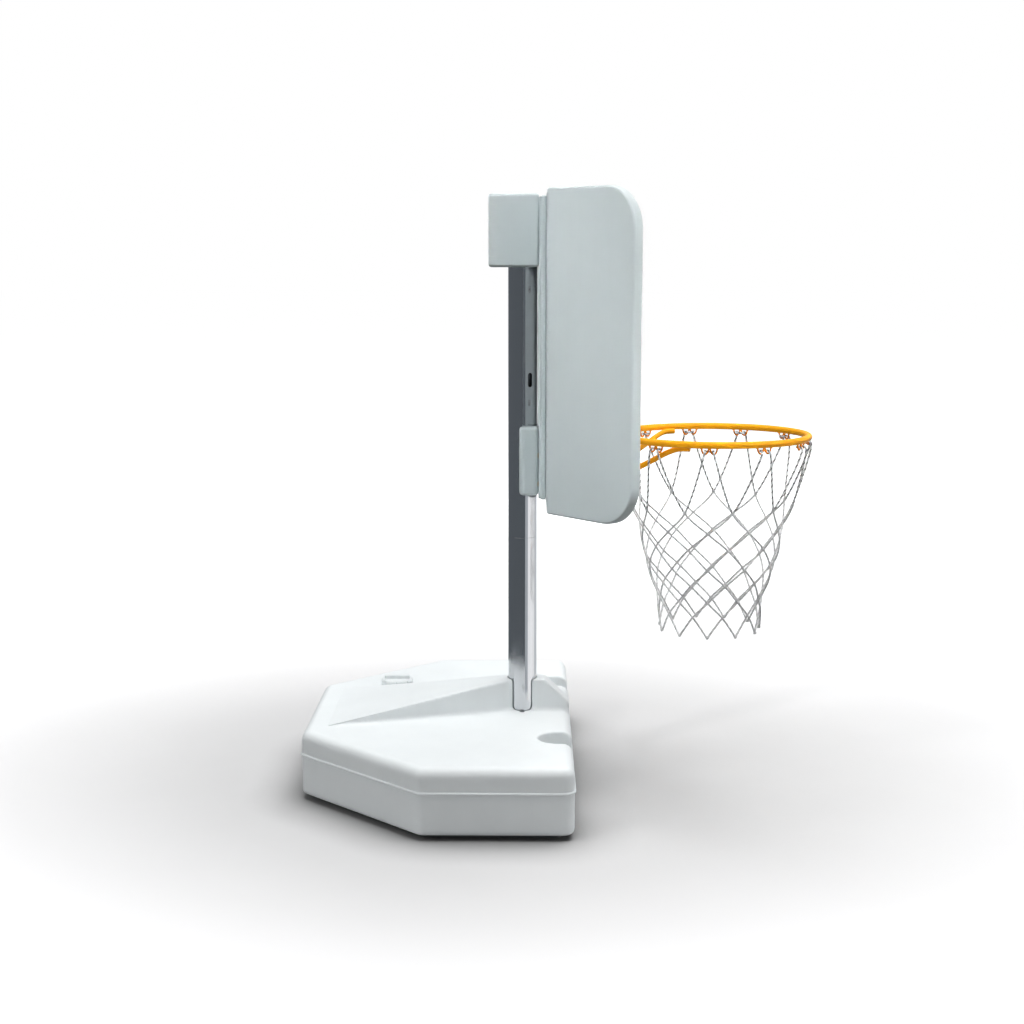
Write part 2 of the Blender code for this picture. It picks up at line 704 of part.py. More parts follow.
def drill(obj, bores, low, high, radius, steps=SMALL_STEPS):
    """Cuts round bores along X, between two depths, at each (y, z) place."""
    bm = bmesh.new()
    for y, z in bores:
        bit = [[bm.verts.new((x, y + radius * cos(a), z + radius * sin(a)))
                for a in (2 * pi * (k + 0.5) / steps for k in range(steps))] for x in (low, high)]
        for i in range(steps):
            j = (i + 1) % steps
            bm.faces.new((bit[0][i], bit[0][j], bit[1][j], bit[1][i]))
        bm.faces.new(bit[0][::-1])
        bm.faces.new(bit[1])
    return boolean(obj, add_object(obj.name + "_bores", bm))


def drill_for_fasteners(obj):
    """Clears the bolts and the rail's screws through the rail or the board."""
    drill(obj, bolt_places().values(), SADDLE_REAR_X, plate_front_x() + CUT_OVERRUN, BOLT_RADIUS + GAP)
    drill(obj, screw_places().values(), SADDLE_REAR_X, screw_seat_x() + SCREW_LENGTH + GAP,
          SCREW_RADIUS + GAP)
    return obj


def rail_layer(name, rear, front, half, low, high):
    return bevel(box(name, (rear, -half, low), (front, half, high), board_plastic("rail plastic")),
                 RAIL_EDGE_RADIUS)


def back_rail():
    """The upright moulding between the board and the pole: a flange, a spine and a pad for the pole."""
    low, high = BOARD_BOTTOM_Z + RAIL_END_INSET, BOARD_TOP_Z - RAIL_END_INSET
    half = RAIL_HALF_WIDTH
    flange_rear = BOARD_BACK_X - RAIL_FLANGE_DEPTH
    rail = rail_layer("back_rail", flange_rear, BOARD_BACK_X - GAP, half, low, high)
    spine = rail_layer("rail_spine", rail_back_x(), flange_rear + RAIL_OVERLAP, half - RAIL_STEP,
                       low + RAIL_STEP, high - RAIL_STEP)
    pad = rail_layer("rail_pad", pad_rear_x(), rail_back_x() + RAIL_OVERLAP, half - 2 * RAIL_STEP,
                     SADDLE_TOP_Z + GAP, HOOD_BOTTOM_Z - GAP)
    boolean(rail, spine, "UNION")
    boolean(rail, pad, "UNION")
    drill(rail, screw_places().values(), SADDLE_REAR_X, screw_seat_x(), SCREW_HEAD_RADIUS + GAP)
    return drill_for_fasteners(rail)


def bracket_outline(rear, corner):
    half = HOOD_HALF_WIDTH
    corners = [(rear, -half), (saddle_front_x(), -half), (saddle_front_x(), half), (rear, half)]
    return fillet(corners, [corner, 0, 0, corner])


def places_of(kind):
    """The bolts whose names start with kind."""
    return {label: place for label, place in bolt_places().items() if label.startswith(kind)}


def blind_holes(obj, kind, radius, reach):
    """Bores from the front face of a bracket for one kind of bolt."""
    front = saddle_front_x()
    return drill(obj, places_of(kind).values(), front - reach, front + CUT_OVERRUN, radius)


def top_hood():
    """The socket that drops over the pole's top."""
    outline = bracket_outline(HOOD_REAR_X, HOOD_CORNER_RADIUS)
    hood = prism_z("top_hood", outline, HOOD_BOTTOM_Z, HOOD_TOP_Z, board_plastic("hood plastic"))
    bevel(hood, HOOD_EDGE_RADIUS)
    bore = disc(POLE_RADIUS + SLIDE_CLEARANCE, HOOD_BOTTOM_Z - CUT_OVERRUN, HOOD_TOP_Z - HOOD_CEILING)
    boolean(hood, turned("hood_bore", bore))
    return blind_holes(hood, "hood", BOLT_RADIUS + GAP, HOOD_BOLT_REACH + GAP)


def lower_saddle():
    """The half ring that steadies the board against the pole's front."""
    outline = bracket_outline(SADDLE_REAR_X, 2 * SADDLE_EDGE_RADIUS)
    saddle = prism_z("lower_saddle", outline, SADDLE_BOTTOM_Z, SADDLE_TOP_Z,
                     board_plastic("saddle plastic"))
    bevel(saddle, SADDLE_EDGE_RADIUS)
    bore = disc(POLE_RADIUS + SLIDE_CLEARANCE, SADDLE_BOTTOM_Z - CUT_OVERRUN, SADDLE_TOP_Z + CUT_OVERRUN)
    boolean(saddle, turned("saddle_bore", bore))
    return blind_holes(saddle, "rim", INSERT_RADIUS + GAP, BOLT_REACH + 2 * GAP)


def insert(label, place):
    """A brass thread insert in the saddle, flush with its front face."""
    front = saddle_front_x()
    profile = sleeve(BOLT_RADIUS + GAP, INSERT_RADIUS, front - BOLT_REACH, front)
    return turned("insert_" + label, profile, material("brass", (0.78, 0.57, 0.25), 0.3, 1.0),
                  steps=SMALL_STEPS, axis="X", centre=(0, *place))


def bolt(name, place, seat, reach):
    """A bolt from the front: a head on its seat and a shank back into the bracket."""
    head = turned(name, disc(BOLT_HEAD_RADIUS, seat + GAP, seat + GAP + BOLT_HEAD_HEIGHT),
                  zinc("zinc plate"), steps=HEX_SIDES, axis="X", centre=(0, *place))
    tip = saddle_front_x() - reach
    shank = turned(name + "_shank", disc(BOLT_RADIUS, tip, seat + 2 * GAP), steps=SMALL_STEPS, axis="X",
                   centre=(0, *place))
    return boolean(head, shank, "UNION")


def bolts():
    for label, place in places_of("rim").items():
        bolt(label + "_bolt", place, plate_front_x(), BOLT_REACH - GAP)
        insert(label, place)
    for label, place in places_of("hood").items():
        bolt(label + "_bolt", place, board_front_x(), HOOD_BOLT_REACH - GAP)


def rail_screw(label, place):
    """A pan-head screw sunk in the rail's back, into the board."""
    back = screw_seat_x() - GAP
    edge = SCREW_HEAD_HEIGHT / 3
    profile = [(0, back - SCREW_HEAD_HEIGHT), (SCREW_HEAD_RADIUS - edge, back - SCREW_HEAD_HEIGHT),
               (SCREW_HEAD_RADIUS, back - SCREW_HEAD_HEIGHT + edge), (SCREW_HEAD_RADIUS, back),
               (SCREW_RADIUS, back), (SCREW_RADIUS, back + SCREW_LENGTH - SCREW_RADIUS),
               (0, back + SCREW_LENGTH)]
    return turned("rail_screw_" + label, profile, zinc("zinc plate"), steps=SMALL_STEPS, axis="X",
                  centre=(0, *place))


def plate_front_x():
    return board_front_x() + GAP + PLATE_THICKNESS


def shelf_top_z():
    return RIM_Z - RIM_ROD_RADIUS - GAP


def rim_bracket():
    """An angle: an upright plate bolted to the board and a shelf under the rim's back."""
    top = shelf_top_z()
    half = PLATE_HALF_WIDTH
    corners = [(-half, PLATE_BOTTOM_Z), (half, PLATE_BOTTOM_Z), (half, top), (-half, top)]
    outline = fillet(corners, [PLATE_CORNER_RADIUS] * 2 + [0, 0])
    plate = prism_x("rim_bracket", outline, board_front_x() + GAP, plate_front_x(),
                    orange_coat("orange coat"))
    tip = RIM_X - RIM_RADIUS + SHELF_REACH
    rear, narrow = board_front_x() + GAP + PLATE_THICKNESS / 2, SHELF_HALF_FRONT
    plan = [(rear, -half), (tip, -narrow), (tip, narrow), (rear, half)]
    rounded = fillet(plan, [0, PLATE_CORNER_RADIUS, PLATE_CORNER_RADIUS, 0])
    boolean(plate, prism_z("bracket_shelf", rounded, top - PLATE_THICKNESS, top), "UNION")
    low, high = BOARD_BACK_X, plate_front_x() + CUT_OVERRUN
    return drill(plate, places_of("rim").values(), low, high, BOLT_RADIUS + GAP)


def rim_point(angle, radius, drop):
    """A point round the rim; angle 0 faces the player."""
    return Vector((RIM_X + radius * cos(angle), radius * sin(angle), RIM_Z - drop))


def hook_wire(bm, angle):
    """One bent wire of two small loops under the rod."""
    sunk = RIM_ROD_RADIUS - 2 * HOOK_WIRE_RADIUS
    low = RIM_ROD_RADIUS + HOOK_DROP
    side = low - 2 * HOOK_WIRE_RADIUS
    half = [(HOOK_HALF_PITCH - HOOK_EYE_HALF, side), (HOOK_HALF_PITCH, low),
            (HOOK_HALF_PITCH + HOOK_EYE_HALF, side), (HOOK_HALF_SPREAD, sunk)]
    shape = [(-along, drop) for along, drop in half[::-1]] + [(0, sunk)] + half
    points = [rim_point(angle + along / RIM_RADIUS, RIM_RADIUS, drop) for along, drop in shape]
    tube_along(bm, points, HOOK_WIRE_RADIUS, HOOK_SIDES, HOOK_TURN)


def rim():
    """The welded rod ring with its net hooks."""
    bm = bmesh.new()
    section = [(RIM_RADIUS + RIM_ROD_RADIUS * cos(a), RIM_ROD_RADIUS * sin(a))
               for a in (2 * pi * k / ROD_SIDES for k in range(ROD_SIDES))]
    ring = turned("rim", section, orange_coat("orange coat"), steps=RIM_STEPS, centre=(RIM_X, 0, RIM_Z))
    for k in range(HOOK_COUNT):
        hook_wire(bm, 2 * pi * k / HOOK_COUNT)
    hooks = add_object("hooks", bm)
    return boolean(ring, hooks, "UNION")


def brace(name, side):
    """A bent rod from the rim's inner underside, out between the cords, to the bracket."""
    apart = RIM_ROD_RADIUS + BRACE_RADIUS + 2 * GAP
    inner = RIM_RADIUS - sqrt(apart * apart - BRACE_DROP * BRACE_DROP)
    face = plate_front_x() + GAP
    hold_angle = side * (BRACE_END_ANGLE + BRACE_HOLD / inner)
    held = rim_point(hold_angle, inner, BRACE_DROP + BRACE_RADIUS / 4)
    root = Vector((face, side * BRACE_ROOT_Y, BRACE_ROOT_Z))
    span = root - held
    route = [rim_point(side * BRACE_END_ANGLE, inner, BRACE_DROP), held]
    route += [held + Vector((span.x * x, span.y * y, span.z * z)) for x, y, z in BRACE_BEND_SHARES]
    route += [root, root - Vector((BRACE_RADIUS, 0, 0))]
    bm = bmesh.new()
    tube_along(bm, spline(route, 3), BRACE_RADIUS, ROD_SIDES)
    rod = add_object(name, bm, orange_coat("orange coat"))
    reach = 4 * BRACE_RADIUS
    trim = box(name + "_trim", (face - reach, root.y - reach, root.z - reach),
               (face, root.y + reach, root.z + reach))
    boolean(rod, trim)
    smooth(rod)
    return rod


def net_rows():
    """(height, radius) of every row of knots, from the first one below the hooks to the tips."""
    top = RIM_Z - RIM_ROD_RADIUS - HOOK_DROP
    pairs = zip(NET_DEPTH_SHARES, NET_TAPER_SHARES)
    return [(top - NET_LENGTH * d, RIM_RADIUS + (NET_TIP_RADIUS - RIM_RADIUS) * t) for d, t in pairs]


def net_strand(bm, index, hand):
    """One cord from the middle of a hook, over its eye and down to a tip, always to one hand."""
    step = 2 * pi / HOOK_COUNT
    start = index * step
    over = HOOK_WIRE_RADIUS + CORD_RADIUS + CORD_BEND_ROOM
    eye = start + hand * HOOK_HALF_PITCH / RIM_RADIUS
    low = RIM_ROD_RADIUS + HOOK_DROP
    aside = hand * CORD_RADIUS / RIM_RADIUS
    inside, outside = RIM_RADIUS - over, RIM_RADIUS + over
    points = [rim_point(start - aside, inside, low - over / 2),
              rim_point(eye - aside, inside, low - over * 0.8),
              rim_point(eye, RIM_RADIUS, low - over - GAP),
              rim_point(eye + hand * GAP / RIM_RADIUS, outside, low - over / 2),
              rim_point(eye + aside, outside, low + over)]
    for row, (z, radius) in enumerate(net_rows()):
        angle = start + hand * step * (row + 1) / 2
        points.append(rim_point(angle, radius + hand * CORD_WEAVE, RIM_Z - z + hand * CORD_WEAVE / 2))
    tube_along(bm, points, CORD_RADIUS, CORD_SIDES, CORD_TURN)


def net():
    """Two families of cords that cross at the knots and meet at the tips."""
    families = []
    for hand, name in ((1, "net"), (-1, "net_other_hand")):
        bm = bmesh.new()
        for index in range(HOOK_COUNT):
            net_strand(bm, index, hand)
        families.append(add_object(name, bm, material("net cord", (0.82, 0.83, 0.85), 0.85)))
    return boolean(families[0], families[1], "UNION")


def main():
    clear_scene()
    base_tank()
    fill_cap()
    fill_gasket()
    drain_plug()
    drain_gasket()
    lower_pole()
    pole_plug("pole_foot_plug", WELL_FLOOR + GAP, 1)
    upper_pole()
    pole_plug("pole_top_plug", HOOD_TOP_Z - HOOD_CEILING - GAP, -1)
    backboard()
    back_rail()
    top_hood()
    lower_saddle()
    for label, place in screw_places().items():
        rail_screw(label, place)
    bolts()
    rim_bracket()
    rim()
    brace("rim_brace_right", -1)
    brace("rim_brace_left", 1)
    net()


main()
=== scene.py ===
"""Looks of the pool basketball hoop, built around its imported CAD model. Metres, +Z up."""

import json
from math import atan2, ceil, cos, hypot, pi, radians, sin, sqrt, tan

import bmesh
import bpy
import numpy as np
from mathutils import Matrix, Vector, noise


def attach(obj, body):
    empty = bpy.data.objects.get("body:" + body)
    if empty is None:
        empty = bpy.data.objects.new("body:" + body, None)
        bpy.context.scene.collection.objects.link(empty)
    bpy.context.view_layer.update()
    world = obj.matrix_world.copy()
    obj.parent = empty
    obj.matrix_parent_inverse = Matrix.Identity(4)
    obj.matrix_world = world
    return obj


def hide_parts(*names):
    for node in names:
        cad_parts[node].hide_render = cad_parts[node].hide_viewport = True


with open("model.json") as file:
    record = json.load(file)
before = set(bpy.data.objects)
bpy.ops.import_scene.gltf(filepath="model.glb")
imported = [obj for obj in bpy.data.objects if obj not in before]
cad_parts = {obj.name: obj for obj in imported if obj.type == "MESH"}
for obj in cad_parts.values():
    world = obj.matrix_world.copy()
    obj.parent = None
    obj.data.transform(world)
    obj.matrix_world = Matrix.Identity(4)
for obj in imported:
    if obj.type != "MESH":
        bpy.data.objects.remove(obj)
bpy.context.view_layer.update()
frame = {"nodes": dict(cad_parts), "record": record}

# Camera, fitted to the photograph
CAMERA_PLACE = (0.0133, -2.7942, 0.9057)
CAMERA_PITCH = radians(8.675)
CAMERA_YAW = radians(0.657)
CAMERA_LENS = 55.74
SENSOR = 36.0

# Studio, with (name, place, target, size, power, spread in degrees) of each soft light
LIGHTS = (
    ("top_light", (0.65, 0.45, 4.5), (0.0, 0.1, 0.3), (4.6, 4.6), 318.0, 180),
    ("left_fill", (-2.6, -1.4, 1.9), (0.0, 0.0, 0.6), (1.8, 1.4), 24.0, 180),
    ("right_fill", (3.0, -0.9, 1.6), (0.0, 0.0, 0.5), (1.8, 1.4), 6.5, 180),
    ("front_fill", (-0.2, -3.2, 2.0), (0.0, 0.0, 0.5), (2.4, 1.6), 5.5, 180),
    ("left_beam", (-2.2, -2.1, 2.2), (0.04, -0.18, 0.84), (0.3, 0.3), 1.03, 29),
    ("right_beam", (2.5, -2.1, 1.3), (0.25, -0.22, 0.78), (0.3, 0.3), 0.64, 23),
    ("rim_beam", (0.7, -3.2, 1.0), (0.36, 0.0, 0.62), (0.2, 0.2), 0.18, 12),
)
FLOOR_RADIUS = 0.64
FLOOR_RINGS = (0.0, 0.3, FLOOR_RADIUS)
BACKDROP_RINGS = (FLOOR_RADIUS, 4.0, 60.0)
# Painted shadow on the floor: a soft stretched patch round the object, and a darker band where the
# floor meets it
FLOOR_SHADOW_CENTRE = (0.02, 0.06, 0.0)
FLOOR_SHADOW_STRETCH = 1.26
FLOOR_SHADOW_REACH = (0.38, 1.02)
FLOOR_SHADOW_SHADE = 0.715
FLOOR_CONTACT_REACH = 0.11
FLOOR_CONTACT_SHADE = 0.42
FLOOR_GLOW_REACH = (0.75, 3.4)
FLOOR_GLOW_POWER = 1.2
GROUND_STEPS = 96

# Drum for reflections, with (radius, height) of its rings and (angle, glow) round it
DRUM_RINGS = ((5.0, -8.0), (5.0, 2.4), (3.5, 4.2), (1.0, 4.8))
DRUM_TOP_Z = 3.0
DRUM_TOP_GLOW = 1.1
DRUM_TINT = 0.12
DRUM_GLOW = ((0.0, 1.2), (0.17, 1.2), (0.35, 0.75), (1.05, 0.70), (1.6, 0.45), (2.1, 0.13), (5.1, 0.12),
             (5.6, 1.15), (2 * pi, 1.2))

# Tank, as in the CAD source but with softer edges, a wider well and narrower notches
TANK_FRONT_X = 0.0863
TANK_SIDE_REAR_X = -0.1647
TANK_REAR_X = -0.380
TANK_HALF_WIDTH = 0.365
TANK_REAR_HALF_WIDTH = 0.158
TANK_CORNER_RADIUS = 0.020
TANK_HEIGHT = 0.121
TANK_TOP_RADIUS = 0.017
TANK_FOOT_RADIUS = 0.006
PLINTH_HEIGHT = 0.009
PLINTH_INSET = 0.022
BEAD_HEIGHT = 0.0795
BEAD_HALF_DEPTH = 0.0024
BEAD_PROUD = 0.0021
RIDGE_REAR_X = -0.3375
RIDGE_REAR_HALF_WIDTH = 0.1265
RIDGE_HALF_WIDTH = 0.0205
RIDGE_RISE = 0.0567
RIDGE_TOP_REAR_X = -0.0257
RIDGE_TOP_FRONT_X = 0.0408
RIDGE_NOSE_DROP = 0.0410
RIDGE_SINK = 0.004
TAIL_STEP = 0.0012
TAIL_FRONT_X = -0.170
TAIL_SINK = 0.0016
NOTCH_Y = 0.1886
NOTCH_WIDTH = 0.068
NOTCH_REACH = 0.0587
NOTCH_DEPTH = 0.070
NOTCH_CORNER_SHARE = 0.98
WELL_RADIUS = 0.0270
WELL_FLOOR = 0.012
WELL_DRAIN_RADIUS = 0.0050
WELL_DRAIN_DEPTH = 0.020
FILLER_X = -0.240
FILLER_Y = 0.152
FILLER_RADIUS = 0.021
DRAIN_HEIGHT = 0.034
DRAIN_RADIUS = 0.0115
BORE_DEPTH = 0.024
CUT_OVERRUN = 0.004
CORNER_STEPS = 10
EDGE_STEPS = 6
BAR_STEPS = 48
BEVEL_ANGLE = radians(35)
SHELL_VOXEL = 0.0028
SHELL_SMOOTHING = 7

# Board, as in the CAD source but with finer edges and slightly taller
BOARD_BOTTOM_Z = 0.5044
BOARD_TOP_Z = 1.0351
BOARD_BACK_X = 0.0408
BOARD_THICKNESS = 0.020
BOARD_HALF_PANEL = 0.1867
BOARD_WING_X = 0.1715
BOARD_WING_Y = 0.3429
BOARD_TIP_RADIUS = 0.068
BOARD_EDGE_RADIUS = 0.0038
BOARD_MIDDLE_RISE = 0.0025

# Hood, as in the CAD source but slightly taller
HOOD_REAR_X = -0.0589
HOOD_FRONT_X = 0.0278
HOOD_HALF_WIDTH = 0.043
HOOD_BOTTOM_Z = 0.9107
HOOD_TOP_Z = 1.0352
HOOD_CORNER_RADIUS = 0.016
HOOD_EDGE_RADIUS = 0.005
HOOD_BORE_RADIUS = 0.026
HOOD_CEILING = 0.012

# Rim and hooks, as in the CAD source
RIM_X = 0.3356
RIM_Z = 0.6174
RIM_RADIUS = 0.1675
ROD_RADIUS = 0.0060
HOOK_COUNT = 11
HOOK_STEP = 2 * pi / HOOK_COUNT
HOOK_HALF_PITCH = 0.0072
HOOK_HALF_SPREAD = 0.0135
HOOK_EYE_HALF = 0.0041
HOOK_DROP = 0.0095
WIRE_RADIUS = 0.0016
WIRE_STEP = 0.0008
WIRE_SIDES = 10
ROD_SIDES = 20
ROD_END_SHARE = 0.86
ROD_END_SLOPE = 0.4
RIM_STEPS = 264
WELD_SIZE = (0.0027, 0.0027, 0.0017)
WELD_SINK = 0.0006
WELD_LUMPS = 0.16
WELD_LUMP_SCALE = 2.2
WELD_SEED_STEP = 7.3

# Net, as in the CAD source but with fuller cords
CORD_RADIUS = 0.0021
CORD_WEAVE = 0.0006
CORD_BEND_ROOM = 0.0019
NET_LENGTH = 0.3315
NET_TIP_RADIUS = 0.0899
NET_DEPTH_SHARES = (0.314, 0.427, 0.518, 0.626, 0.716, 0.810, 0.891, 1.0)
NET_TAPER_SHARES = (0.317, 0.503, 0.590, 0.673, 0.809, 0.942, 0.988, 1.0)
PLY_COUNT = 3
PLY_POINTS = 4
PLY_PITCH = 0.0115
PLY_REACH = 0.52
PLY_RADIUS = 0.48
# How strongly the painted shade in the ply grooves grows with their depth
PLY_GROOVE_SHADE = 1.7
CORD_STEP = 0.0011
LOW_TRACER = 0.25

# Whipping of the knots, with (radius, radius of the cord, turns, rise) for a row
WRAP_FIRST = (0.0027, 0.0011, 2.5, 0.0052)
WRAP_MIDDLE = (0.0022, 0.0009, 1.5, 0.0026)
WRAP_LAST = (0.0024, 0.0012, 2.5, 0.0048)
WRAP_LAST_LIFT = 0.0010
WRAP_LEAN = 0.15
WRAP_POINTS = 14
WRAP_END_SHARE = 0.80


class Paint:
    """A node material around one Principled shader, with coordinates in metres of the piece."""

    def __init__(self, name, colour, roughness, **sockets):
        self.mat = bpy.data.materials.new(name)
        self.mat.use_nodes = True
        self.tree = self.mat.node_tree
        self.shader = self.tree.nodes["Principled BSDF"]
        self.shader.inputs["Base Color"].default_value = (*colour, 1.0)
        self.shader.inputs["Roughness"].default_value = roughness
        for label, value in sockets.items():
            self.shader.inputs[label.replace("_", " ")].default_value = value
        self.mat.diffuse_color = (*colour, 1.0)
        self.colour = colour
        self.coords = self.node("TexCoord").outputs["Object"]

    def node(self, kind, **settings):
        """A new shader node with its settings."""
        made = self.tree.nodes.new("ShaderNode" + kind)
        for label, value in settings.items():
            setattr(made, label, value)
        return made

    def set(self, made, **inputs):
        """Fills sockets by name, or by number as in i0: a link from a socket, or else a value."""
        for label, value in inputs.items():
            numbered = label[0] == "i" and label[1:].isdigit()
            socket = made.inputs[int(label[1:]) if numbered else label.replace("_", " ")]
            if isinstance(value, bpy.types.NodeSocket):
                self.tree.links.new(value, socket)
            else:
                socket.default_value = value
        return made

    def stretched(self, scale):
        """The coordinates times a scale along each axis."""
        return self.set(self.node("Mapping"), Vector=self.coords, Scale=scale).outputs["Vector"]

    def noise(self, scale, detail=3.0, roughness=0.5, distortion=0.0, coords=None):
        """Soft noise, at scale cells in a metre."""
        made = self.node("TexNoise")
        self.set(made, Vector=coords or self.coords, Scale=scale, Detail=detail,
                 Roughness=roughness, Distortion=distortion)
        return made.outputs["Fac"]

    def cells(self, scale, feature="F1"):
        """The distance to the nearest of many scattered points."""
        made = self.node("TexVoronoi", feature=feature)
        self.set(made, Vector=self.coords, Scale=scale)
        return made.outputs["Distance"]

    def spread(self, value, low, high, out_low=0.0, out_high=1.0):
        """A value's range from low to high, spread over another range and clamped to it."""
        made = self.node("MapRange", clamp=True)
        self.set(made, Value=value, From_Min=low, From_Max=high, To_Min=out_low, To_Max=out_high)
        return made.outputs["Result"]

    def maths(self, operation, a, b=0.0):
        """One operation on two values."""
        made = self.node("Math", operation=operation)
        return self.set(made, i0=a, i1=b).outputs[0]

    def mix(self, share, a, b):
        """Colour a, with a share of colour b."""
        made = self.node("Mix", data_type="RGBA")
        for index, value in ((0, share), (6, a), (7, b)):
            value = (*value, 1.0) if isinstance(value, tuple) and len(value) == 3 else value
            self.set(made, **{f"i{index}": value})
        return made.outputs[2]

    def shade(self, factor):
        """The base colour times a factor."""
        return tuple(min(1.0, c * factor) for c in self.colour)

    def rounded(self, radius):
        """The normal, softened over sharp edges."""
        return self.set(self.node("Bevel", samples=4), Radius=radius).outputs["Normal"]

    def facing_up(self):
        """1 on level tops, 0 on upright faces and -1 on undersides."""
        normal = self.node("NewGeometry").outputs["Normal"]
        return self.set(self.node("SeparateXYZ"), Vector=normal).outputs["Z"]

    def edges(self, radius):
        """1 on sharp edges and 0 on flat faces."""
        rounded = self.rounded(radius)
        flat = self.node("NewGeometry").outputs["Normal"]
        dot = self.node("VectorMath", operation="DOT_PRODUCT")
        self.set(dot, i0=rounded, i1=flat)
        return self.spread(dot.outputs["Value"], 0.995, 0.90)

    def bump(self, height, distance, strength, edge_radius=0.0):
        """Relief from a height, over edges that look rounded."""
        made = self.node("Bump")
        self.set(made, Height=height, Distance=distance, Strength=strength)
        if edge_radius:
            self.set(made, Normal=self.rounded(edge_radius))
        self.tree.links.new(made.outputs["Normal"], self.shader.inputs["Normal"])

    def finish(self, **inputs):
        """The material, with its last sockets filled."""
        self.set(self.shader, **inputs)
        return self.mat


def moulded_plastic(name, colour, roughness=0.42, grain=1.0, edge_radius=0.0012, foot_shade_height=0.0,
                    dust_and_painted_shade=0.0):
    """Satin moulded plastic: a pebbled skin, faint clouds, paler edges, painted shadow along the foot,
    and painted shade on tops and undersides.
    """
    p = Paint(name, colour, roughness, Specular_IOR_Level=0.45, Coat_Weight=0.06, Coat_Roughness=0.35)
    clouds = p.noise(7.0, 4.0, 0.55)
    flow = p.noise(1.0, 5.0, 0.6, 0.6, p.stretched((26.0, 26.0, 3.0)))
    edge = p.maths("MULTIPLY", p.edges(edge_radius * 2), p.noise(60.0, 4.0, 0.7))
    base = p.mix(p.spread(clouds, 0.35, 0.68), p.shade(0.975), p.shade(1.015))
    base = p.mix(p.spread(flow, 0.45, 0.80, 0.0, 0.35), base, p.shade(0.955))
    base = p.mix(p.spread(edge, 0.20, 0.75, 0.0, 0.45), base, p.shade(1.06))
    # Painted shadow: below the given height, with a ragged edge, the colour is darkened almost to
    # black, as the shade in the recess under the tank.
    if foot_shade_height:
        height = p.set(p.node("SeparateXYZ"), Vector=p.coords).outputs["Z"]
        ragged = p.maths("MULTIPLY_ADD", p.noise(55.0, 4.0, 0.6), foot_shade_height * 0.3)
        p.set(ragged.node, i2=height)
        base = p.mix(p.spread(ragged, foot_shade_height, foot_shade_height * 1.3, 0.85, 0.0), base, p.shade(0.10))
    # Painted shade: faces that look up are darkened by the given share to tone down the top light, and
    # undersides by more to darken the bottom edges.
    if dust_and_painted_shade:
        facing = p.facing_up()
        base = p.mix(p.spread(facing, 0.10, 0.75), base, p.shade(1.0 - dust_and_painted_shade))
        base = p.mix(p.spread(facing, -0.08, -0.45), base, p.shade(1.0 - 1.6 * dust_and_painted_shade))
    pebbles = p.cells(1150.0, "SMOOTH_F1")
    skin = p.noise(2600.0, 2.0, 0.5)
    waves = p.noise(24.0, 2.0, 0.4)
    height = p.maths("ADD", p.maths("MULTIPLY", pebbles, 0.6 * grain),
                     p.maths("MULTIPLY", skin, 0.4 * grain))
    height = p.maths("ADD", height, p.maths("MULTIPLY", waves, 1.6))
    p.bump(height, 0.00016, 0.55, edge_radius)
    gloss = p.maths("ADD", p.spread(p.noise(85.0, 5.0, 0.7), 0.3, 0.7, -0.05, 0.05), roughness)
    return p.finish(Base_Color=base, Roughness=gloss)


def polished_tube(name, colour):
    """Drawn and polished stainless tube, with fine lines along it and faint smears."""
    p = Paint(name, colour, 0.16, Metallic=1.0)
    lines = p.noise(1.0, 4.0, 0.6, 0.0, p.stretched((1400.0, 1400.0, 14.0)))
    rings = p.noise(1.0, 2.0, 0.5, 0.0, p.stretched((30.0, 30.0, 900.0)))
    smears = p.noise(16.0, 5.0, 0.62, 0.4)
    base = p.mix(p.spread(smears, 0.42, 0.72, 0.0, 0.6), p.colour, p.shade(0.93))
    gloss = p.maths("ADD", p.spread(lines, 0.3, 0.7, 0.10, 0.17), p.spread(smears, 0.5, 0.8, 0.0, 0.10))
    height = p.maths("ADD", lines, p.maths("MULTIPLY", rings, 0.5))
    p.bump(height, 0.00002, 0.35, 0.0004)
    return p.finish(Base_Color=base, Roughness=gloss)


def powder_coat(name, colour, roughness=0.40):
    """Glossy powder coat with orange-peel and small rubs down to a duller layer."""
    p = Paint(name, colour, roughness, Coat_Weight=0.03, Coat_Roughness=0.15, Specular_IOR_Level=0.15)
    peel = p.noise(620.0, 3.0, 0.5)
    clouds = p.noise(38.0, 3.0, 0.5)
    rubs = p.maths("MULTIPLY", p.edges(0.0010), p.noise(300.0, 4.0, 0.7))
    base = p.mix(p.spread(clouds, 0.35, 0.7), p.shade(0.94), p.shade(1.04))
    base = p.mix(p.spread(rubs, 0.35, 0.7, 0.0, 0.5), base, p.shade(0.62))
    p.bump(p.maths("ADD", peel, p.maths("MULTIPLY", clouds, 0.7)), 0.00005, 0.5, 0.0005)
    gloss = p.spread(p.noise(140.0, 4.0, 0.6), 0.3, 0.7, roughness - 0.06, roughness + 0.10)
    return p.finish(Base_Color=base, Roughness=gloss)


def plated(name, colour, roughness=0.30):
    """Zinc or brass with crystal-like blotches and scratched edges."""
    p = Paint(name, colour, roughness, Metallic=1.0)
    flakes = p.cells(520.0)
    scratches = p.noise(1.0, 3.0, 0.6, 0.2, p.stretched((2200.0, 160.0, 900.0)))
    base = p.mix(p.spread(flakes, 0.1, 0.7), p.shade(0.90), p.shade(1.05))
    base = p.mix(p.spread(p.edges(0.0006), 0.2, 0.9, 0.0, 0.5), base, p.shade(1.15))
    p.bump(p.maths("ADD", flakes, scratches), 0.00005, 0.4, 0.0004)
    gloss = p.spread(scratches, 0.3, 0.7, roughness - 0.08, roughness + 0.12)
    return p.finish(Base_Color=base, Roughness=gloss)


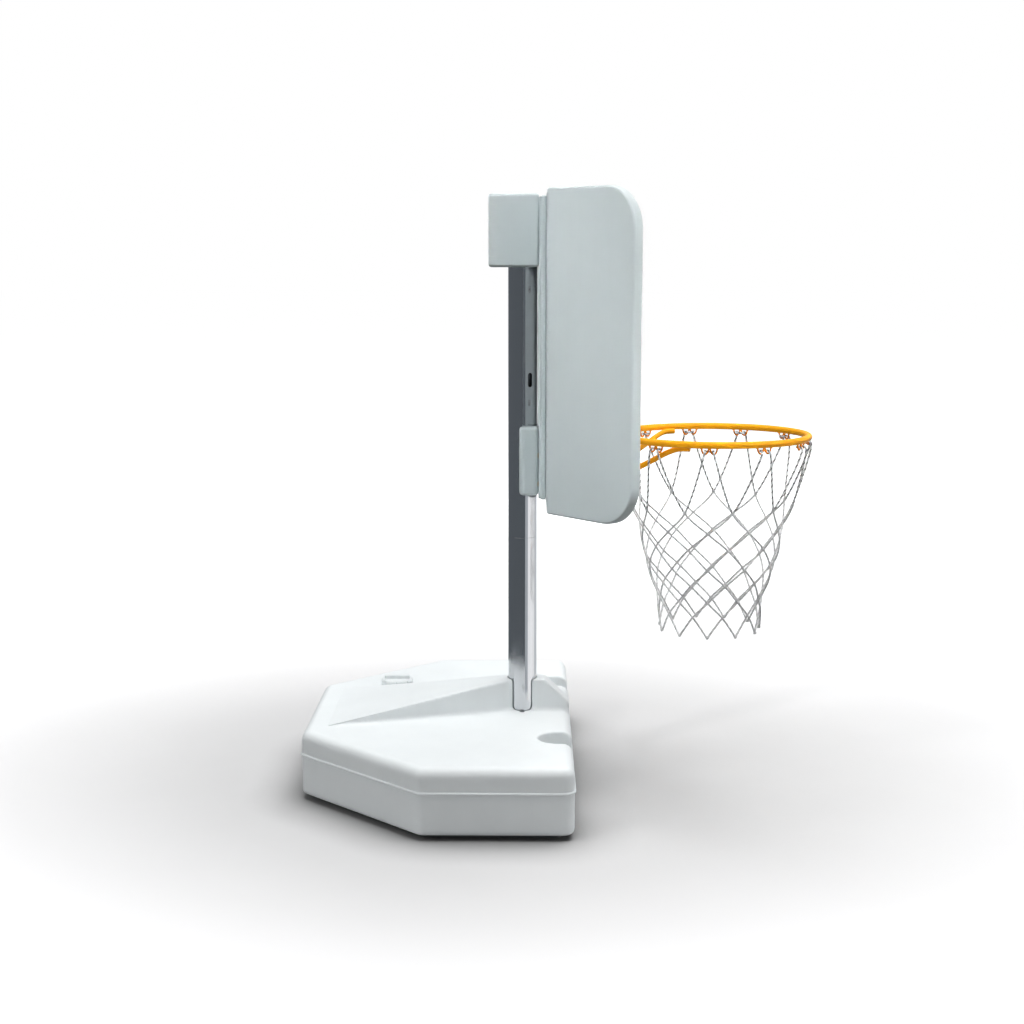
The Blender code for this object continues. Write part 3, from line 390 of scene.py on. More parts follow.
def black_rubber(name, colour, roughness):
    """Matt rubber or nylon with pale dusty patches and a fine grain."""
    p = Paint(name, colour, roughness, Specular_IOR_Level=0.35)
    dust_and_painted_shade = p.noise(90.0, 5.0, 0.7)
    base = p.mix(p.spread(dust_and_painted_shade, 0.5, 0.8, 0.0, 0.5), p.colour, p.shade(2.2))
    p.bump(p.noise(1800.0, 3.0, 0.6), 0.00010, 0.6, 0.0004)
    gloss = p.spread(dust_and_painted_shade, 0.3, 0.7, roughness - 0.1, roughness + 0.1)
    return p.finish(Base_Color=base, Roughness=gloss)


def twisted_cord(name, colour, tracer_colour):
    """Nylon cord: pale plies with one grey tracer ply, fine fibres across each ply, and painted shade
    in the grooves between the plies.
    """
    p = Paint(name, colour, 0.78, Sheen_Weight=0.25, Sheen_Roughness=0.5)
    tracer = p.node("Attribute", attribute_name="tracer").outputs["Fac"]
    depth = p.node("Attribute", attribute_name="groove").outputs["Fac"]
    fibres = p.noise(1.0, 3.0, 0.6, 0.0, p.stretched((5200.0, 5200.0, 1900.0)))
    clouds = p.noise(55.0, 3.0, 0.6)
    base = p.mix(p.spread(clouds, 0.35, 0.7), p.shade(0.93), p.shade(1.04))
    base = p.mix(p.maths("MULTIPLY", tracer, 0.9), base, tracer_colour)
    # Painted shade: the colour darkens towards the grooves between the plies.
    base = p.mix(p.maths("MULTIPLY", depth, 0.35), base, p.shade(0.45))
    p.bump(fibres, 0.00022, 0.7)
    gloss = p.spread(fibres, 0.3, 0.7, 0.68, 0.88)
    return p.finish(Base_Color=base, Roughness=gloss)


def circle_angles(count):
    """Evenly spaced angles round a circle."""
    return [2 * pi * k / count for k in range(count)]


def arc_angles(sweep):
    """Evenly spaced angles from 0 to the sweep of a rounded edge."""
    return [sweep * k / EDGE_STEPS for k in range(EDGE_STEPS + 1)]


def linked(obj):
    """Puts a new object into the scene and returns it."""
    bpy.context.scene.collection.objects.link(obj)
    return obj


def mesh_object(name, bm):
    """A new object with the mesh of a bmesh, faces turned outwards."""
    bmesh.ops.recalc_face_normals(bm, faces=bm.faces)
    mesh = bpy.data.meshes.new(name)
    bm.to_mesh(mesh)
    bm.free()
    return linked(bpy.data.objects.new(name, mesh))


def reopened(*meshes):
    """A bmesh that holds the given meshes."""
    bm = bmesh.new()
    for mesh in meshes:
        bm.from_mesh(mesh)
    return bm


def add_piece(name, bm, body, slot, *mats, smooth_angle=radians(45)):
    """Turns a bmesh into a shown piece that rides on a body, or on none."""
    obj = mesh_object(name, bm)
    for mat in mats:
        obj.data.materials.append(mat)
    obj.data.shade_smooth()
    obj.data.set_sharp_from_angle(angle=smooth_angle)
    if body:
        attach(obj, body)
    return obj


def rim_point(angle, radius, drop):
    """A point round the rim; angle 0 faces the player."""
    return Vector((RIM_X + radius * cos(angle), radius * sin(angle), RIM_Z - drop))


def curve_through(points, step):
    """Points about step apart on a smooth Catmull-Rom curve through the given points."""
    pts = [Vector(p) for p in points]
    pts = [2 * pts[0] - pts[1]] + pts + [2 * pts[-1] - pts[-2]]
    out = []
    for i in range(1, len(pts) - 2):
        a, b, c, d = pts[i - 1:i + 3]
        first, span, last = [max(1e-9, (q - p).length) ** 0.5 for p, q in ((a, b), (b, c), (c, d))]
        out_slope = ((b - a) / first - (c - a) / (first + span) + (c - b) / span) * span
        in_slope = ((c - b) / span - (d - b) / (span + last) + (d - c) / last) * span
        count = max(2, ceil((c - b).length / step))
        for k in range(count):
            t = k / count
            out.append((2 * t ** 3 - 3 * t ** 2 + 1) * b + (t ** 3 - 2 * t ** 2 + t) * out_slope
                       + (3 * t ** 2 - 2 * t ** 3) * c + (t ** 3 - t ** 2) * in_slope)
    out.append(pts[-2])
    return out


def section_frames(points):
    """(point, side, up, distance along) at each point, without twist."""
    out = []
    side, along = None, 0.0
    for i, p in enumerate(points):
        tangent = (points[min(i + 1, len(points) - 1)] - points[max(i - 1, 0)]).normalized()
        if side is None:
            helper = Vector((0, 0, 1)) if abs(tangent.z) < 0.9 else Vector((1, 0, 0))
            side = tangent.cross(helper).normalized()
        side = (side - tangent * side.dot(tangent)).normalized()
        if i:
            along += (p - points[i - 1]).length
        out.append((p, side, tangent.cross(side), along))
    return out


def band(bm, low, high):
    """Faces between two rings of vertices."""
    faces = []
    for k in range(len(low)):
        j = (k + 1) % len(low)
        faces.append(bm.faces.new((low[k], low[j], high[j], high[k])))
    return faces


def skin_rings(bm, rings, slot=0, closed=False):
    """Faces between rings of vertices, with flat ends unless the rings close on themselves."""
    pairs = list(zip(rings, rings[1:])) + ([(rings[-1], rings[0])] if closed else [])
    faces = []
    for low, high in pairs:
        faces += band(bm, low, high)
    if not closed:
        faces.append(bm.faces.new(rings[0][::-1]))
        faces.append(bm.faces.new(rings[-1]))
    for f in faces:
        f.material_index = slot


def rod(bm, points, radius, sides, slot):
    """A round rod whose ends are slightly rounded off."""
    rings = []
    frames = section_frames(points)
    total = frames[-1][3]
    for p, side, up, along in frames:
        end = min(along, total - along) / radius
        wide = radius * min(1.0, ROD_END_SHARE + ROD_END_SLOPE * end)
        rings.append([bm.verts.new(p + (side * cos(a) + up * sin(a)) * wide)
                      for a in circle_angles(sides)])
    skin_rings(bm, rings, slot)


def ply_section(radius):
    """(angle, radius, ply, depth of groove) round a three-ply cord."""
    reach, ply = PLY_REACH * radius, PLY_RADIUS * radius
    out = []
    for n in range(PLY_COUNT):
        for k in range(PLY_POINTS):
            a = (k / PLY_POINTS - 0.5) * 2 * pi / PLY_COUNT
            r = reach * cos(a) + sqrt(max(0.0, ply * ply - (reach * sin(a)) ** 2))
            out.append((2 * pi * n / PLY_COUNT + a, r, n, 1.0 - r / radius))
    return out


def twisted(bm, points, radius, layers, tracer, phase=0.0, pitch=PLY_PITCH):
    """A laid cord of three plies along points. The layers hold tracer and groove values."""
    section = ply_section(radius)
    rings = []
    for p, side, up, along in section_frames(points):
        turn = phase + 2 * pi * along / pitch
        ring = []
        for angle, r, ply, groove in section:
            a = angle + turn
            v = bm.verts.new(p + (side * cos(a) + up * sin(a)) * r)
            v[layers[0]] = tracer(p) if ply == 0 else 0.0
            v[layers[1]] = min(1.0, groove * PLY_GROOVE_SHADE)
            ring.append(v)
        rings.append(ring)
    skin_rings(bm, rings)


def net_rows():
    """(drop below the rim, radius) of each row of knots down to the tips."""
    top = ROD_RADIUS + HOOK_DROP
    return [(top + NET_LENGTH * d, RIM_RADIUS + (NET_TIP_RADIUS - RIM_RADIUS) * t)
            for d, t in zip(NET_DEPTH_SHARES, NET_TAPER_SHARES)]


def strand_points(index, hand):
    """One side of a cord, from the middle of its hook over the eye and down to a tip."""
    start = index * HOOK_STEP
    over = WIRE_RADIUS + CORD_RADIUS + CORD_BEND_ROOM
    eye = start + hand * HOOK_HALF_PITCH / RIM_RADIUS
    low = ROD_RADIUS + HOOK_DROP
    aside = hand * CORD_RADIUS / RIM_RADIUS
    inside, outside = RIM_RADIUS - over, RIM_RADIUS + over
    points = [rim_point(eye - aside, inside, low - over * 0.8),
              rim_point(eye, RIM_RADIUS, low - over),
              rim_point(eye, outside, low - over / 2),
              rim_point(eye + aside, outside, low + over)]
    for row, (drop, radius) in enumerate(net_rows()):
        angle = start + hand * HOOK_STEP * (row + 1) / 2
        points.append(rim_point(angle, radius + hand * CORD_WEAVE, drop + hand * CORD_WEAVE / 2))
    return points


def wrap(bm, centre, axis, radius, cord, turns, rise, layers):
    """A few turns of cord round an axis, as the whipping of a knot."""
    axis = axis.normalized()
    side = axis.cross(Vector((0, 0, 1)) if abs(axis.z) < 0.9 else Vector((1, 0, 0))).normalized()
    up = axis.cross(side)
    count = int(turns * WRAP_POINTS)
    points = []
    for k in range(count + 1):
        share = k / count
        a = 2 * pi * turns * share
        swell = radius * (WRAP_END_SHARE + (1 - WRAP_END_SHARE) * sin(pi * share))
        points.append(centre + axis * rise * (share - 0.5) + (side * cos(a) + up * sin(a)) * swell)
    twisted(bm, points, cord, layers, lambda p: 0.0, pitch=PLY_PITCH / 2)


def build_net(mat):
    """Eleven cords, each from tip to tip through one hook, whipped where they are tied."""
    bm = bmesh.new()
    layers = [bm.verts.layers.float.new(n) for n in ("tracer", "groove")]
    rows = net_rows()

    def tracer(p):
        """The upper cords show their tracer ply most."""
        return 1.0 if RIM_Z - p.z < rows[0][0] else LOW_TRACER

    for index in range(HOOK_COUNT):
        left, right = strand_points(index, -1), strand_points(index, 1)
        path = curve_through(left[::-1] + right, CORD_STEP)
        twisted(bm, path, CORD_RADIUS, layers, tracer, phase=index)
    whipping = [WRAP_FIRST, *[WRAP_MIDDLE] * (len(rows) - 2), WRAP_LAST]
    for row, (drop, radius) in enumerate(rows):
        lift = WRAP_LAST_LIFT if row == len(rows) - 1 else 0.0
        for index in range(HOOK_COUNT):
            angle = (index + (row + 1) / 2) * HOOK_STEP
            centre = rim_point(angle, radius, drop) + Vector((0, 0, lift))
            axis = Vector((0, 0, 1)) + Vector((cos(angle), sin(angle), 0)) * WRAP_LEAN
            wrap(bm, centre, axis, *whipping[row], layers)
    net = add_piece("net_cords", bm, "board", "net_cord", mat, smooth_angle=radians(80))
    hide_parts("net")


def fillet(points, radii, steps=CORNER_STEPS):
    """Rounds each corner of a closed outline with its own radius."""
    out = []
    for i, radius in enumerate(radii):
        before, here, after = (Vector(points[j % len(points)]) for j in (i - 1, i, i + 1))
        if not radius:
            out.append(here)
            continue
        inward, outward = (before - here).normalized(), (after - here).normalized()
        half = inward.angle(outward) / 2
        centre = here + (inward + outward).normalized() * (radius / sin(half))
        first = here + inward * (radius / tan(half)) - centre
        sweep = (pi - 2 * half) * (1 if inward.x * outward.y - inward.y * outward.x < 0 else -1)
        for k in range(steps + 1):
            c, s = cos(sweep * k / steps), sin(sweep * k / steps)
            out.append(centre + Vector((first.x * c - first.y * s, first.x * s + first.y * c)))
    return out


def level(plan, z):
    """The points of a plan at one height."""
    return [Vector((p.x, p.y, z)) for p in plan]


def tank_loop(inset, height):
    """One level of the tank: its plan inset by a distance, with rounded corners."""
    corners = [Vector(p) for p in (
        (TANK_FRONT_X, -TANK_HALF_WIDTH), (TANK_FRONT_X, TANK_HALF_WIDTH),
        (TANK_SIDE_REAR_X, TANK_HALF_WIDTH), (TANK_REAR_X, TANK_REAR_HALF_WIDTH),
        (TANK_REAR_X, -TANK_REAR_HALF_WIDTH), (TANK_SIDE_REAR_X, -TANK_HALF_WIDTH))]
    moved = []
    for i, here in enumerate(corners):
        into = (here - corners[i - 1]).normalized()
        away = (corners[(i + 1) % len(corners)] - here).normalized()
        normals = [Vector((-d.y, d.x)) for d in (into, away)]
        bisector = (normals[0] + normals[1]).normalized()
        moved.append(here + bisector * (inset / bisector.dot(normals[0])))
    radius = max(TANK_CORNER_RADIUS - inset, TANK_CORNER_RADIUS / 3)
    return level(fillet(moved, [radius] * len(moved)), height)


def loft(bm, loops):
    """A closed solid through loops of points."""
    skin_rings(bm, [[bm.verts.new(p) for p in loop] for loop in loops])


def solid(name, *stacks):
    """A mesh object of one or more lofted solids."""
    bm = bmesh.new()
    for loops in stacks:
        loft(bm, loops)
    return mesh_object(name, bm)


def round_bar(axis, radius, low, high, centre):
    """The loops of a round bar along Z or X, for a cutter."""
    loops = []
    for along in (low, high):
        ring = []
        for a in circle_angles(BAR_STEPS):
            across = (radius * cos(a), radius * sin(a))
            ring.append(Vector((*across, along)) if axis == "Z" else Vector((along, *across)))
        loops.append([p + Vector(centre) for p in ring])
    return loops


def baked(obj, steps):
    """The mesh that modifiers leave, given as (kind, settings), with the tools removed."""
    tools = []
    for kind, settings in steps:
        mod = obj.modifiers.new(kind.title(), kind)
        for label, value in settings.items():
            setattr(mod, label, value)
        if kind == "BOOLEAN":
            mod.solver = "EXACT"
            tools.append(mod.object)
    bpy.context.view_layer.update()
    mesh = bpy.data.meshes.new_from_object(obj.evaluated_get(bpy.context.evaluated_depsgraph_get()))
    for item in [obj, *dict.fromkeys(tools)]:
        bpy.data.objects.remove(item)
    return mesh


def rounding(radius):
    """The modifier step that rounds a solid's edges."""
    return "BEVEL", {"width": radius, "segments": EDGE_STEPS, "limit_method": "ANGLE",
                     "angle_limit": BEVEL_ANGLE}


def ridge_section(x, z, sink=0.0):
    """A section of the wedge on the deck, with its top at a height and its sides sunk inwards."""
    taper = (RIDGE_REAR_HALF_WIDTH - RIDGE_HALF_WIDTH) / (RIDGE_TOP_REAR_X - RIDGE_REAR_X)
    half = max(RIDGE_HALF_WIDTH, RIDGE_HALF_WIDTH + (RIDGE_TOP_REAR_X - x) * taper) - sink
    foot = TANK_HEIGHT - RIDGE_SINK
    return [Vector(p) for p in ((x, -half, foot), (x, half, foot), (x, half, z), (x, -half, z))]


def ridge_top(x):
    """The height of the wedge's sloping top."""
    return TANK_HEIGHT + (x - RIDGE_REAR_X) * RIDGE_RISE / (RIDGE_TOP_REAR_X - RIDGE_REAR_X)


def ridge_loops():
    """The wedge on the deck, as in the CAD source."""
    rear = RIDGE_REAR_X - RIDGE_SINK
    top = TANK_HEIGHT + RIDGE_RISE
    nose_x = TANK_FRONT_X - CUT_OVERRUN / 2
    return [ridge_section(rear, ridge_top(rear)), ridge_section(RIDGE_TOP_REAR_X, top),
            ridge_section(RIDGE_TOP_FRONT_X, top), ridge_section(nose_x, top - RIDGE_NOSE_DROP)]


def tail_loops():
    """The crisp thin end of the wedge, which sinks into the soft shell towards the front."""
    return [ridge_section(RIDGE_REAR_X, TANK_HEIGHT + TAIL_STEP),
            ridge_section(TAIL_FRONT_X, ridge_top(TAIL_FRONT_X) - TAIL_SINK, TAIL_SINK)]


def notch_loops(side):
    """The cutter of the hand notch on one side of the well."""
    half = NOTCH_WIDTH / 2
    rear, front = TANK_FRONT_X - NOTCH_REACH, TANK_FRONT_X + CUT_OVERRUN
    right, left = side * NOTCH_Y - half, side * NOTCH_Y + half
    corner = half * NOTCH_CORNER_SHARE
    plan = fillet([(rear, right), (front, right), (front, left), (rear, left)],
                  [corner, 0, 0, corner], 2 * CORNER_STEPS)
    return [level(plan, z) for z in (TANK_HEIGHT - NOTCH_DEPTH, TANK_HEIGHT + CUT_OVERRUN)]


def build_tank(mat):
    """The moulded tank with the soft edges and hollows of rotational moulding."""
    top_levels = [(TANK_TOP_RADIUS * (1 - cos(a)), TANK_HEIGHT - TANK_TOP_RADIUS * (1 - sin(a)))
                  for a in arc_angles(pi / 2)]
    foot_levels = [(TANK_FOOT_RADIUS * (1 - sin(a)), PLINTH_HEIGHT + TANK_FOOT_RADIUS * (1 - cos(a)))
                   for a in arc_angles(pi / 2)]
    body = solid("tank_body", [tank_loop(inset, z) for inset, z in foot_levels + top_levels])
    wedge = solid("tank_wedge", ridge_loops())
    notches = solid("tank_notches", notch_loops(-1), notch_loops(1))
    above = TANK_HEIGHT + RIDGE_RISE + CUT_OVERRUN
    bores = solid(
        "tank_bores",
        round_bar("Z", WELL_RADIUS, WELL_FLOOR, above, (0, 0, 0)),
        round_bar("Z", FILLER_RADIUS, TANK_HEIGHT - BORE_DEPTH, above, (FILLER_X, FILLER_Y, 0)),
        round_bar("X", DRAIN_RADIUS, -CUT_OVERRUN, BORE_DEPTH, (TANK_REAR_X, 0, DRAIN_HEIGHT)))
    weep_place = (0, -WELL_RADIUS - WELL_DRAIN_RADIUS / 2, 0)
    weep = solid("tank_weep", round_bar("Z", WELL_DRAIN_RADIUS, TANK_HEIGHT - WELL_DRAIN_DEPTH,
                                        TANK_HEIGHT + RIDGE_SINK, weep_place))
    tail = solid("tank_tail", tail_loops())
    shell = baked(body, [
        ("BOOLEAN", {"operation": "UNION", "object": wedge}),
        ("BOOLEAN", {"operation": "DIFFERENCE", "object": notches}),
        ("REMESH", {"mode": "VOXEL", "voxel_size": SHELL_VOXEL, "use_smooth_shade": True}),
        ("SMOOTH", {"factor": 0.5, "iterations": SHELL_SMOOTHING}),
        ("BOOLEAN", {"operation": "UNION", "object": tail}),
        ("BOOLEAN", {"operation": "DIFFERENCE", "object": bores}),
        ("BOOLEAN", {"operation": "DIFFERENCE", "object": weep})])
    profile = [(BEAD_PROUD, BEAD_HEIGHT - BEAD_HALF_DEPTH)]
    profile += [(-BEAD_PROUD * sin(a), BEAD_HEIGHT - BEAD_HALF_DEPTH * cos(a))
                for a in arc_angles(pi)]
    profile.append((BEAD_PROUD, BEAD_HEIGHT + BEAD_HALF_DEPTH))
    line = solid("tank_line", [tank_loop(inset, z) for inset, z in profile])
    cuts = solid("line_cuts", notch_loops(-1), notch_loops(1))
    line = baked(line, [("BOOLEAN", {"operation": "DIFFERENCE", "object": cuts})])
    bm = reopened(shell, line)
    loft(bm, [tank_loop(PLINTH_INSET, 0.0), tank_loop(PLINTH_INSET, PLINTH_HEIGHT + TANK_FOOT_RADIUS)])
    tank = add_piece("tank_shell", bm, "base", "tank_plastic", mat, smooth_angle=radians(50))
    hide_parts("base_tank")


def board_place(along, depth, z):
    """A point that lies along the board, depth in front of its back and at a height."""
    sweep = atan2(BOARD_WING_X - BOARD_BACK_X, BOARD_WING_Y - BOARD_HALF_PANEL)
    side = 1 if along > 0 else -1
    beyond = abs(along) - BOARD_HALF_PANEL
    if beyond <= 0:
        mitre = depth * tan(sweep / 2) * abs(along) / BOARD_HALF_PANEL
        return Vector((BOARD_BACK_X + depth, along - side * mitre, z))
    x = BOARD_BACK_X + beyond * sin(sweep) + depth * cos(sweep)
    y = BOARD_HALF_PANEL + beyond * cos(sweep) - depth * sin(sweep)
    return Vector((x, side * y, z))


def build_board(mat):
    """The swept panel with fine rounded edges and softly folded wings."""
    wing = hypot(BOARD_WING_X - BOARD_BACK_X, BOARD_WING_Y - BOARD_HALF_PANEL)
    tip = BOARD_HALF_PANEL + wing
    half = fillet([(BOARD_HALF_PANEL, BOARD_BOTTOM_Z), (tip, BOARD_BOTTOM_Z), (tip, BOARD_TOP_Z),
                   (BOARD_HALF_PANEL, BOARD_TOP_Z + BOARD_MIDDLE_RISE)],
                  [0, BOARD_TIP_RADIUS, BOARD_TIP_RADIUS, 0], 3 * CORNER_STEPS)
    bm = bmesh.new()
    skins = []
    for depth in (0.0, BOARD_THICKNESS):
        skin = {side: [bm.verts.new(board_place(side * p.x, depth, p.y)) for p in half]
                for side in (-1, 1)}
        for side in (-1, 1):
            bm.faces.new(skin[side])
        bm.faces.new((skin[-1][0], skin[1][0], skin[1][-1], skin[-1][-1]))
        skins.append(skin)
    rear, front = skins
    for side in (-1, 1):
        for i in range(len(half) - 1):
            bm.faces.new((rear[side][i], rear[side][i + 1], front[side][i + 1], front[side][i]))
    for i in (0, -1):
        bm.faces.new((rear[-1][i], rear[1][i], front[1][i], front[-1][i]))
    mesh = baked(mesh_object("board_raw", bm), [rounding(BOARD_EDGE_RADIUS)])
    board = add_piece("board_panel", reopened(mesh), "board", "board_plastic", mat)
    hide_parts("backboard")


def build_hood(mat):
    """The socket over the pole's top, with softly rounded edges and a bore from below."""
    plan = fillet([(HOOD_REAR_X, -HOOD_HALF_WIDTH), (HOOD_FRONT_X, -HOOD_HALF_WIDTH),
                   (HOOD_FRONT_X, HOOD_HALF_WIDTH), (HOOD_REAR_X, HOOD_HALF_WIDTH)],
                  [HOOD_CORNER_RADIUS, 0, 0, HOOD_CORNER_RADIUS])
    block = solid("hood_block", [level(plan, HOOD_BOTTOM_Z), level(plan, HOOD_TOP_Z)])
    bore = solid("hood_bore", round_bar("Z", HOOD_BORE_RADIUS, HOOD_BOTTOM_Z - CUT_OVERRUN,
                                        HOOD_TOP_Z - HOOD_CEILING, (0, 0, 0)))
    mesh = baked(block, [rounding(HOOD_EDGE_RADIUS),
                         ("BOOLEAN", {"operation": "DIFFERENCE", "object": bore})])
    hood = add_piece("hood_shell", reopened(mesh), "board", "board_plastic", mat)
    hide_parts("top_hood")


def bead(bm, centre, size, seed, slot):
    """A lumpy weld bead."""
    made = bmesh.ops.create_icosphere(bm, subdivisions=3, radius=1.0)
    for v in made["verts"]:
        place = v.co * WELD_LUMP_SCALE + Vector((seed * WELD_SEED_STEP, 0, 0))
        lump = 1.0 + WELD_LUMPS * noise.noise(place)
        v.co = Vector((v.co.x * size[0], v.co.y * size[1], v.co.z * size[2])) * lump + Vector(centre)
    for f in {f for v in made["verts"] for f in v.link_faces}:
        f.material_index = slot


def hook_path(angle):
    """The centreline of one bent wire of two small loops under the rod."""
    sunk = ROD_RADIUS - 2 * WIRE_RADIUS
    low = ROD_RADIUS + HOOK_DROP
    side = low - 2 * WIRE_RADIUS
    half = [(HOOK_HALF_PITCH - HOOK_EYE_HALF, side), (HOOK_HALF_PITCH, low),
            (HOOK_HALF_PITCH + HOOK_EYE_HALF, side), (HOOK_HALF_SPREAD, sunk)]
    shape = [(-along, drop) for along, drop in half[::-1]] + [(0, sunk)] + half
    points = [rim_point(angle + along / RIM_RADIUS, RIM_RADIUS, drop) for along, drop in shape]
    return curve_through(points, WIRE_STEP)


def build_rim(rod_mat, wire_mat):
    """The rod ring with its eleven wire hooks and their weld beads."""
    bm = bmesh.new()
    rings = []
    for a in circle_angles(RIM_STEPS):
        middle, out = rim_point(a, RIM_RADIUS, 0), Vector((cos(a), sin(a), 0))
        rings.append([bm.verts.new(middle + (out * cos(b) + Vector((0, 0, sin(b)))) * ROD_RADIUS)
                      for b in circle_angles(ROD_SIDES)])
    skin_rings(bm, rings, closed=True)
    for index in range(HOOK_COUNT):
        angle = index * HOOK_STEP
        rod(bm, hook_path(angle), WIRE_RADIUS, WIRE_SIDES, 1)
        for n, along in enumerate((-HOOK_HALF_SPREAD, 0.0, HOOK_HALF_SPREAD)):
            place = rim_point(angle + along / RIM_RADIUS, RIM_RADIUS, ROD_RADIUS - WELD_SINK)
            bead(bm, place, WELD_SIZE, index * 3 + n, 1)
    rim = add_piece("rim_ring", bm, "board", "orange_coat", rod_mat, wire_mat)
    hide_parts("rim")


def dress_cad(paints, shaded_saddle_paint):
    """Gives every CAD node the material of its slot, but the saddle a darker copy of the board plastic
    as painted shade.
    """
    slots = {s["node"]: s["material_slot"] for s in frame["record"]["subparts"]}
    for name, obj in frame["nodes"].items():
        obj.data.materials.clear()
        obj.data.materials.append(paints[slots[name]])
    frame["nodes"]["lower_saddle"].data.materials[0] = shaded_saddle_paint


def area_light(name, place, target, size, power, spread):
    """A soft light that faces its target and doesn't show in reflections."""
    data = bpy.data.lights.new(name, "AREA")
    data.shape = "RECTANGLE"
    data.size, data.size_y = size
    data.energy = power
    data.spread = radians(spread)
    obj = linked(bpy.data.objects.new(name, data))
    obj.location = place
    obj.rotation_euler = (Vector(target) - Vector(place)).to_track_quat("-Z", "Y").to_euler()
    obj.visible_glossy = False


def level_ring(bm, radius, z):
    """A level ring of vertices round the middle of the scene."""
    return [bm.verts.new((radius * cos(a), radius * sin(a), z)) for a in circle_angles(GROUND_STEPS)]


def build_floor():
    """A pale floor with painted shadow: darker in a soft patch round the object, darker still where it
    meets the object, and white towards the backdrop.
    """
    p = Paint("floor_paint", (0.86, 0.86, 0.865), 0.85, Specular_IOR_Level=0.0)
    # Painted shadow: the floor darkens in a soft patch, stretched along X, round the object.
    offset = p.node("VectorMath", operation="SUBTRACT")
    p.set(offset, i0=p.stretched((1 / FLOOR_SHADOW_STRETCH, 1.0, 1.0)), i1=FLOOR_SHADOW_CENTRE)
    length = p.node("VectorMath", operation="LENGTH")
    reach = p.set(length, i0=offset.outputs["Vector"]).outputs["Value"]
    painted_shadow = p.set(p.node("MapRange", interpolation_type="SMOOTHSTEP"), Value=reach,
                 From_Min=FLOOR_SHADOW_REACH[0], From_Max=FLOOR_SHADOW_REACH[1]).outputs["Result"]
    glow = p.maths("POWER", p.spread(reach, *FLOOR_GLOW_REACH), FLOOR_GLOW_POWER)
    p.shader.inputs["Emission Color"].default_value = (1.0, 1.0, 1.0, 1.0)
    base = p.mix(painted_shadow, p.shade(FLOOR_SHADOW_SHADE), p.colour)
    base = p.mix(p.spread(p.noise(3.0, 4.0, 0.6), 0.3, 0.7, 0.0, 0.1), base, p.shade(0.97))
    # Painted shadow where the floor meets the object: ambient occlusion within the given reach darkens
    # it further.
    contact_shadow = p.set(p.node("AmbientOcclusion", samples=8), Distance=FLOOR_CONTACT_REACH).outputs["AO"]
    dark = p.shade(FLOOR_SHADOW_SHADE * FLOOR_CONTACT_SHADE)
    base = p.mix(p.spread(contact_shadow, 0.35, 1.0, 1.0, 0.0), base, dark)
    paint = p.finish(Base_Color=base, Emission_Strength=glow)
    for name, radii in (("floor", FLOOR_RINGS), ("backdrop", BACKDROP_RINGS)):
        bm = bmesh.new()
        rings = [level_ring(bm, radius, 0) for radius in radii if radius]
        if not radii[0]:
            bm.faces.new(rings[0])
        for low, high in zip(rings, rings[1:]):
            band(bm, low, high)
        ground = add_piece(name, bm, None, None, paint)
        ground.visible_glossy = False
        ground.visible_diffuse = name == "floor"


def build_reflections():
    """A drum that only reflections see: dark on two sides and bright on the others."""
    bm = bmesh.new()
    rings = [level_ring(bm, radius, z) for radius, z in DRUM_RINGS]
    for low, high in zip(rings, rings[1:]):
        band(bm, low, high)
    mat = bpy.data.materials.new("drum_glow")
    mat.use_nodes = True
    tree = mat.node_tree
    tree.nodes.clear()
    out = tree.nodes.new("ShaderNodeOutputMaterial")
    glow = tree.nodes.new("ShaderNodeEmission")
    paint = tree.nodes.new("ShaderNodeAttribute")
    paint.attribute_name = "glow"
    tree.links.new(paint.outputs["Color"], glow.inputs["Color"])
    tree.links.new(glow.outputs["Emission"], out.inputs["Surface"])
    drum = add_piece("reflection_drum", bm, None, None, mat)
    colours = drum.data.color_attributes.new("glow", "FLOAT_COLOR", "POINT")
    for v in drum.data.vertices:
        angle = atan2(v.co.y, v.co.x) % (2 * pi)
        shine = np.interp(angle, *zip(*DRUM_GLOW))
        if v.co.z > DRUM_TOP_Z:
            shine = max(shine, DRUM_TOP_GLOW)
        tint = DRUM_TINT * (1.0 - min(1.0, shine))
        colours.data[v.index].color = (shine * (1 - tint), shine, shine * (1 + tint), 1.0)
    for ray in ("camera", "diffuse", "shadow", "transmission", "volume_scatter"):
        setattr(drum, "visible_" + ray, False)


def build_world():
    """A white backdrop that the camera sees and that lights nothing."""
    world = bpy.data.worlds.new("studio")
    world.use_nodes = True
    bpy.context.scene.world = world
    back = world.node_tree.nodes["Background"]
    back.inputs["Color"].default_value = (1.0, 1.0, 1.0, 1.0)
    back.inputs["Strength"].default_value = 1.0
    world.cycles_visibility.diffuse = False
    world.cycles_visibility.glossy = False


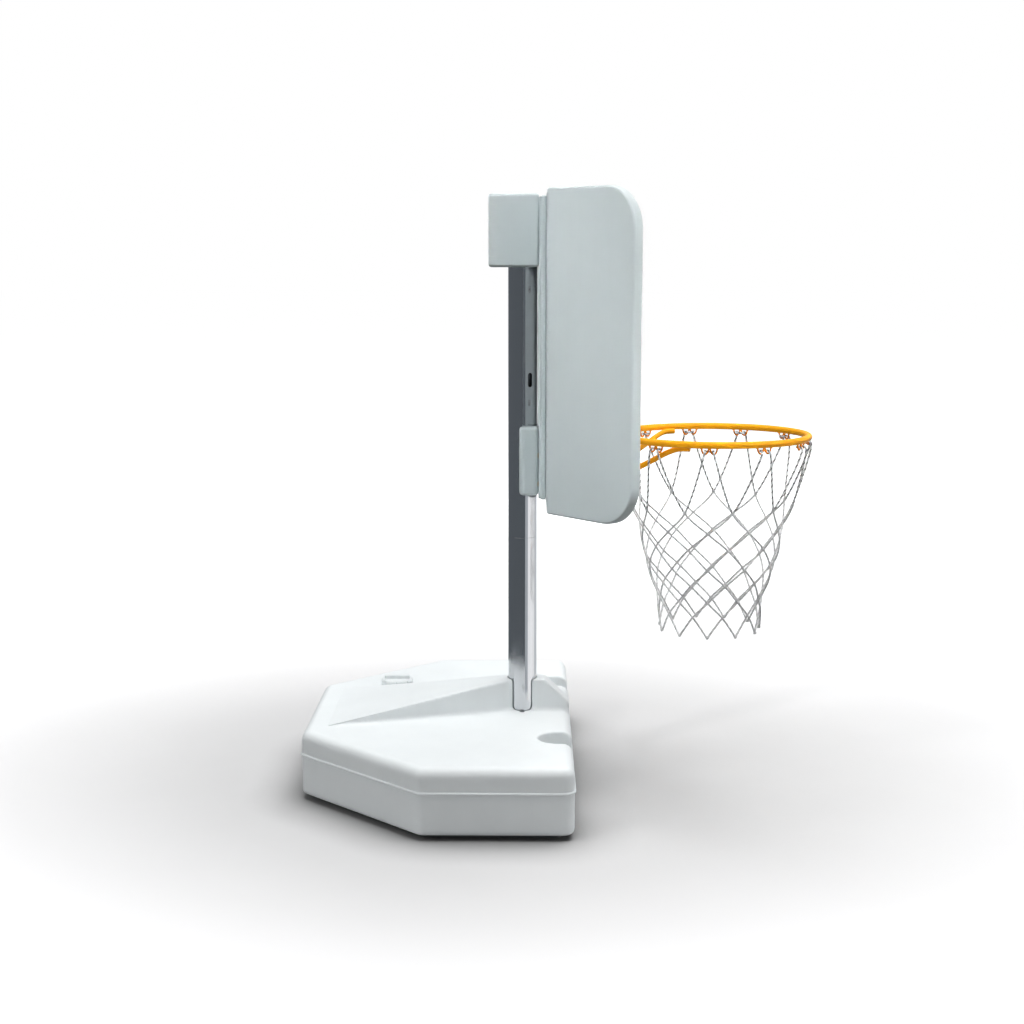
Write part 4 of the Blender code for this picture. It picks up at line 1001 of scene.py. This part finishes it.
def build_camera():
    """The camera that took the photograph, as fitted to it."""
    data = bpy.data.cameras.new("camera")
    data.sensor_width = SENSOR
    data.lens = CAMERA_LENS
    obj = linked(bpy.data.objects.new("camera", data))
    obj.location = CAMERA_PLACE
    obj.rotation_euler = (pi / 2 - CAMERA_PITCH, 0.0, CAMERA_YAW)
    bpy.context.scene.camera = obj


bpy.context.scene.view_settings.view_transform = "Standard"
build_camera()
build_world()
build_floor()
build_reflections()
for light in LIGHTS:
    area_light(*light)

PAINTS = {
    # The tank's paint has painted shadow along its foot, up to the plinth's height.
    "tank_plastic": moulded_plastic("tank_paint", (0.86, 0.90, 0.91), foot_shade_height=PLINTH_HEIGHT),
    "cap_plastic": moulded_plastic("cap_paint", (0.80, 0.84, 0.85), 0.38, 0.6, edge_radius=0.0008),
    "gasket_rubber": black_rubber("gasket_paint", (0.030, 0.030, 0.033), 0.80),
    "stainless": polished_tube("tube_paint", (0.66, 0.67, 0.69)),
    "plug_plastic": black_rubber("plug_paint", (0.035, 0.035, 0.038), 0.55),
    # The board's paint has painted shade: darker tops against the top light, and darker undersides
    # along the bottom edges.
    "board_plastic": moulded_plastic("board_paint", (0.742, 0.824, 0.838), 0.45, 0.8, dust_and_painted_shade=0.32),
    "zinc": plated("zinc_paint", (0.72, 0.73, 0.74)),
    "brass_insert": plated("brass_paint", (0.78, 0.57, 0.25)),
    "orange_coat": powder_coat("coat_paint", (1.0, 0.41, 0.006)),
    "net_cord": twisted_cord("cord_paint", (0.93, 0.935, 0.94), (0.035, 0.037, 0.042)),
}
# Painted shade: the board plastic made darker, without its painted tops and undersides, for the saddle,
# which sits in shade.
SHADED_SADDLE_PAINT = moulded_plastic("shaded_saddle_paint", (0.655, 0.735, 0.75), 0.38, 0.8, edge_radius=0.0020)
WIRE_PAINT = powder_coat("wire_paint", (0.95, 0.30, 0.02), 0.45)

dress_cad(PAINTS, SHADED_SADDLE_PAINT)
build_tank(PAINTS["tank_plastic"])
build_board(PAINTS["board_plastic"])
build_hood(PAINTS["board_plastic"])
build_net(PAINTS["net_cord"])
build_rim(PAINTS["orange_coat"], WIRE_PAINT)
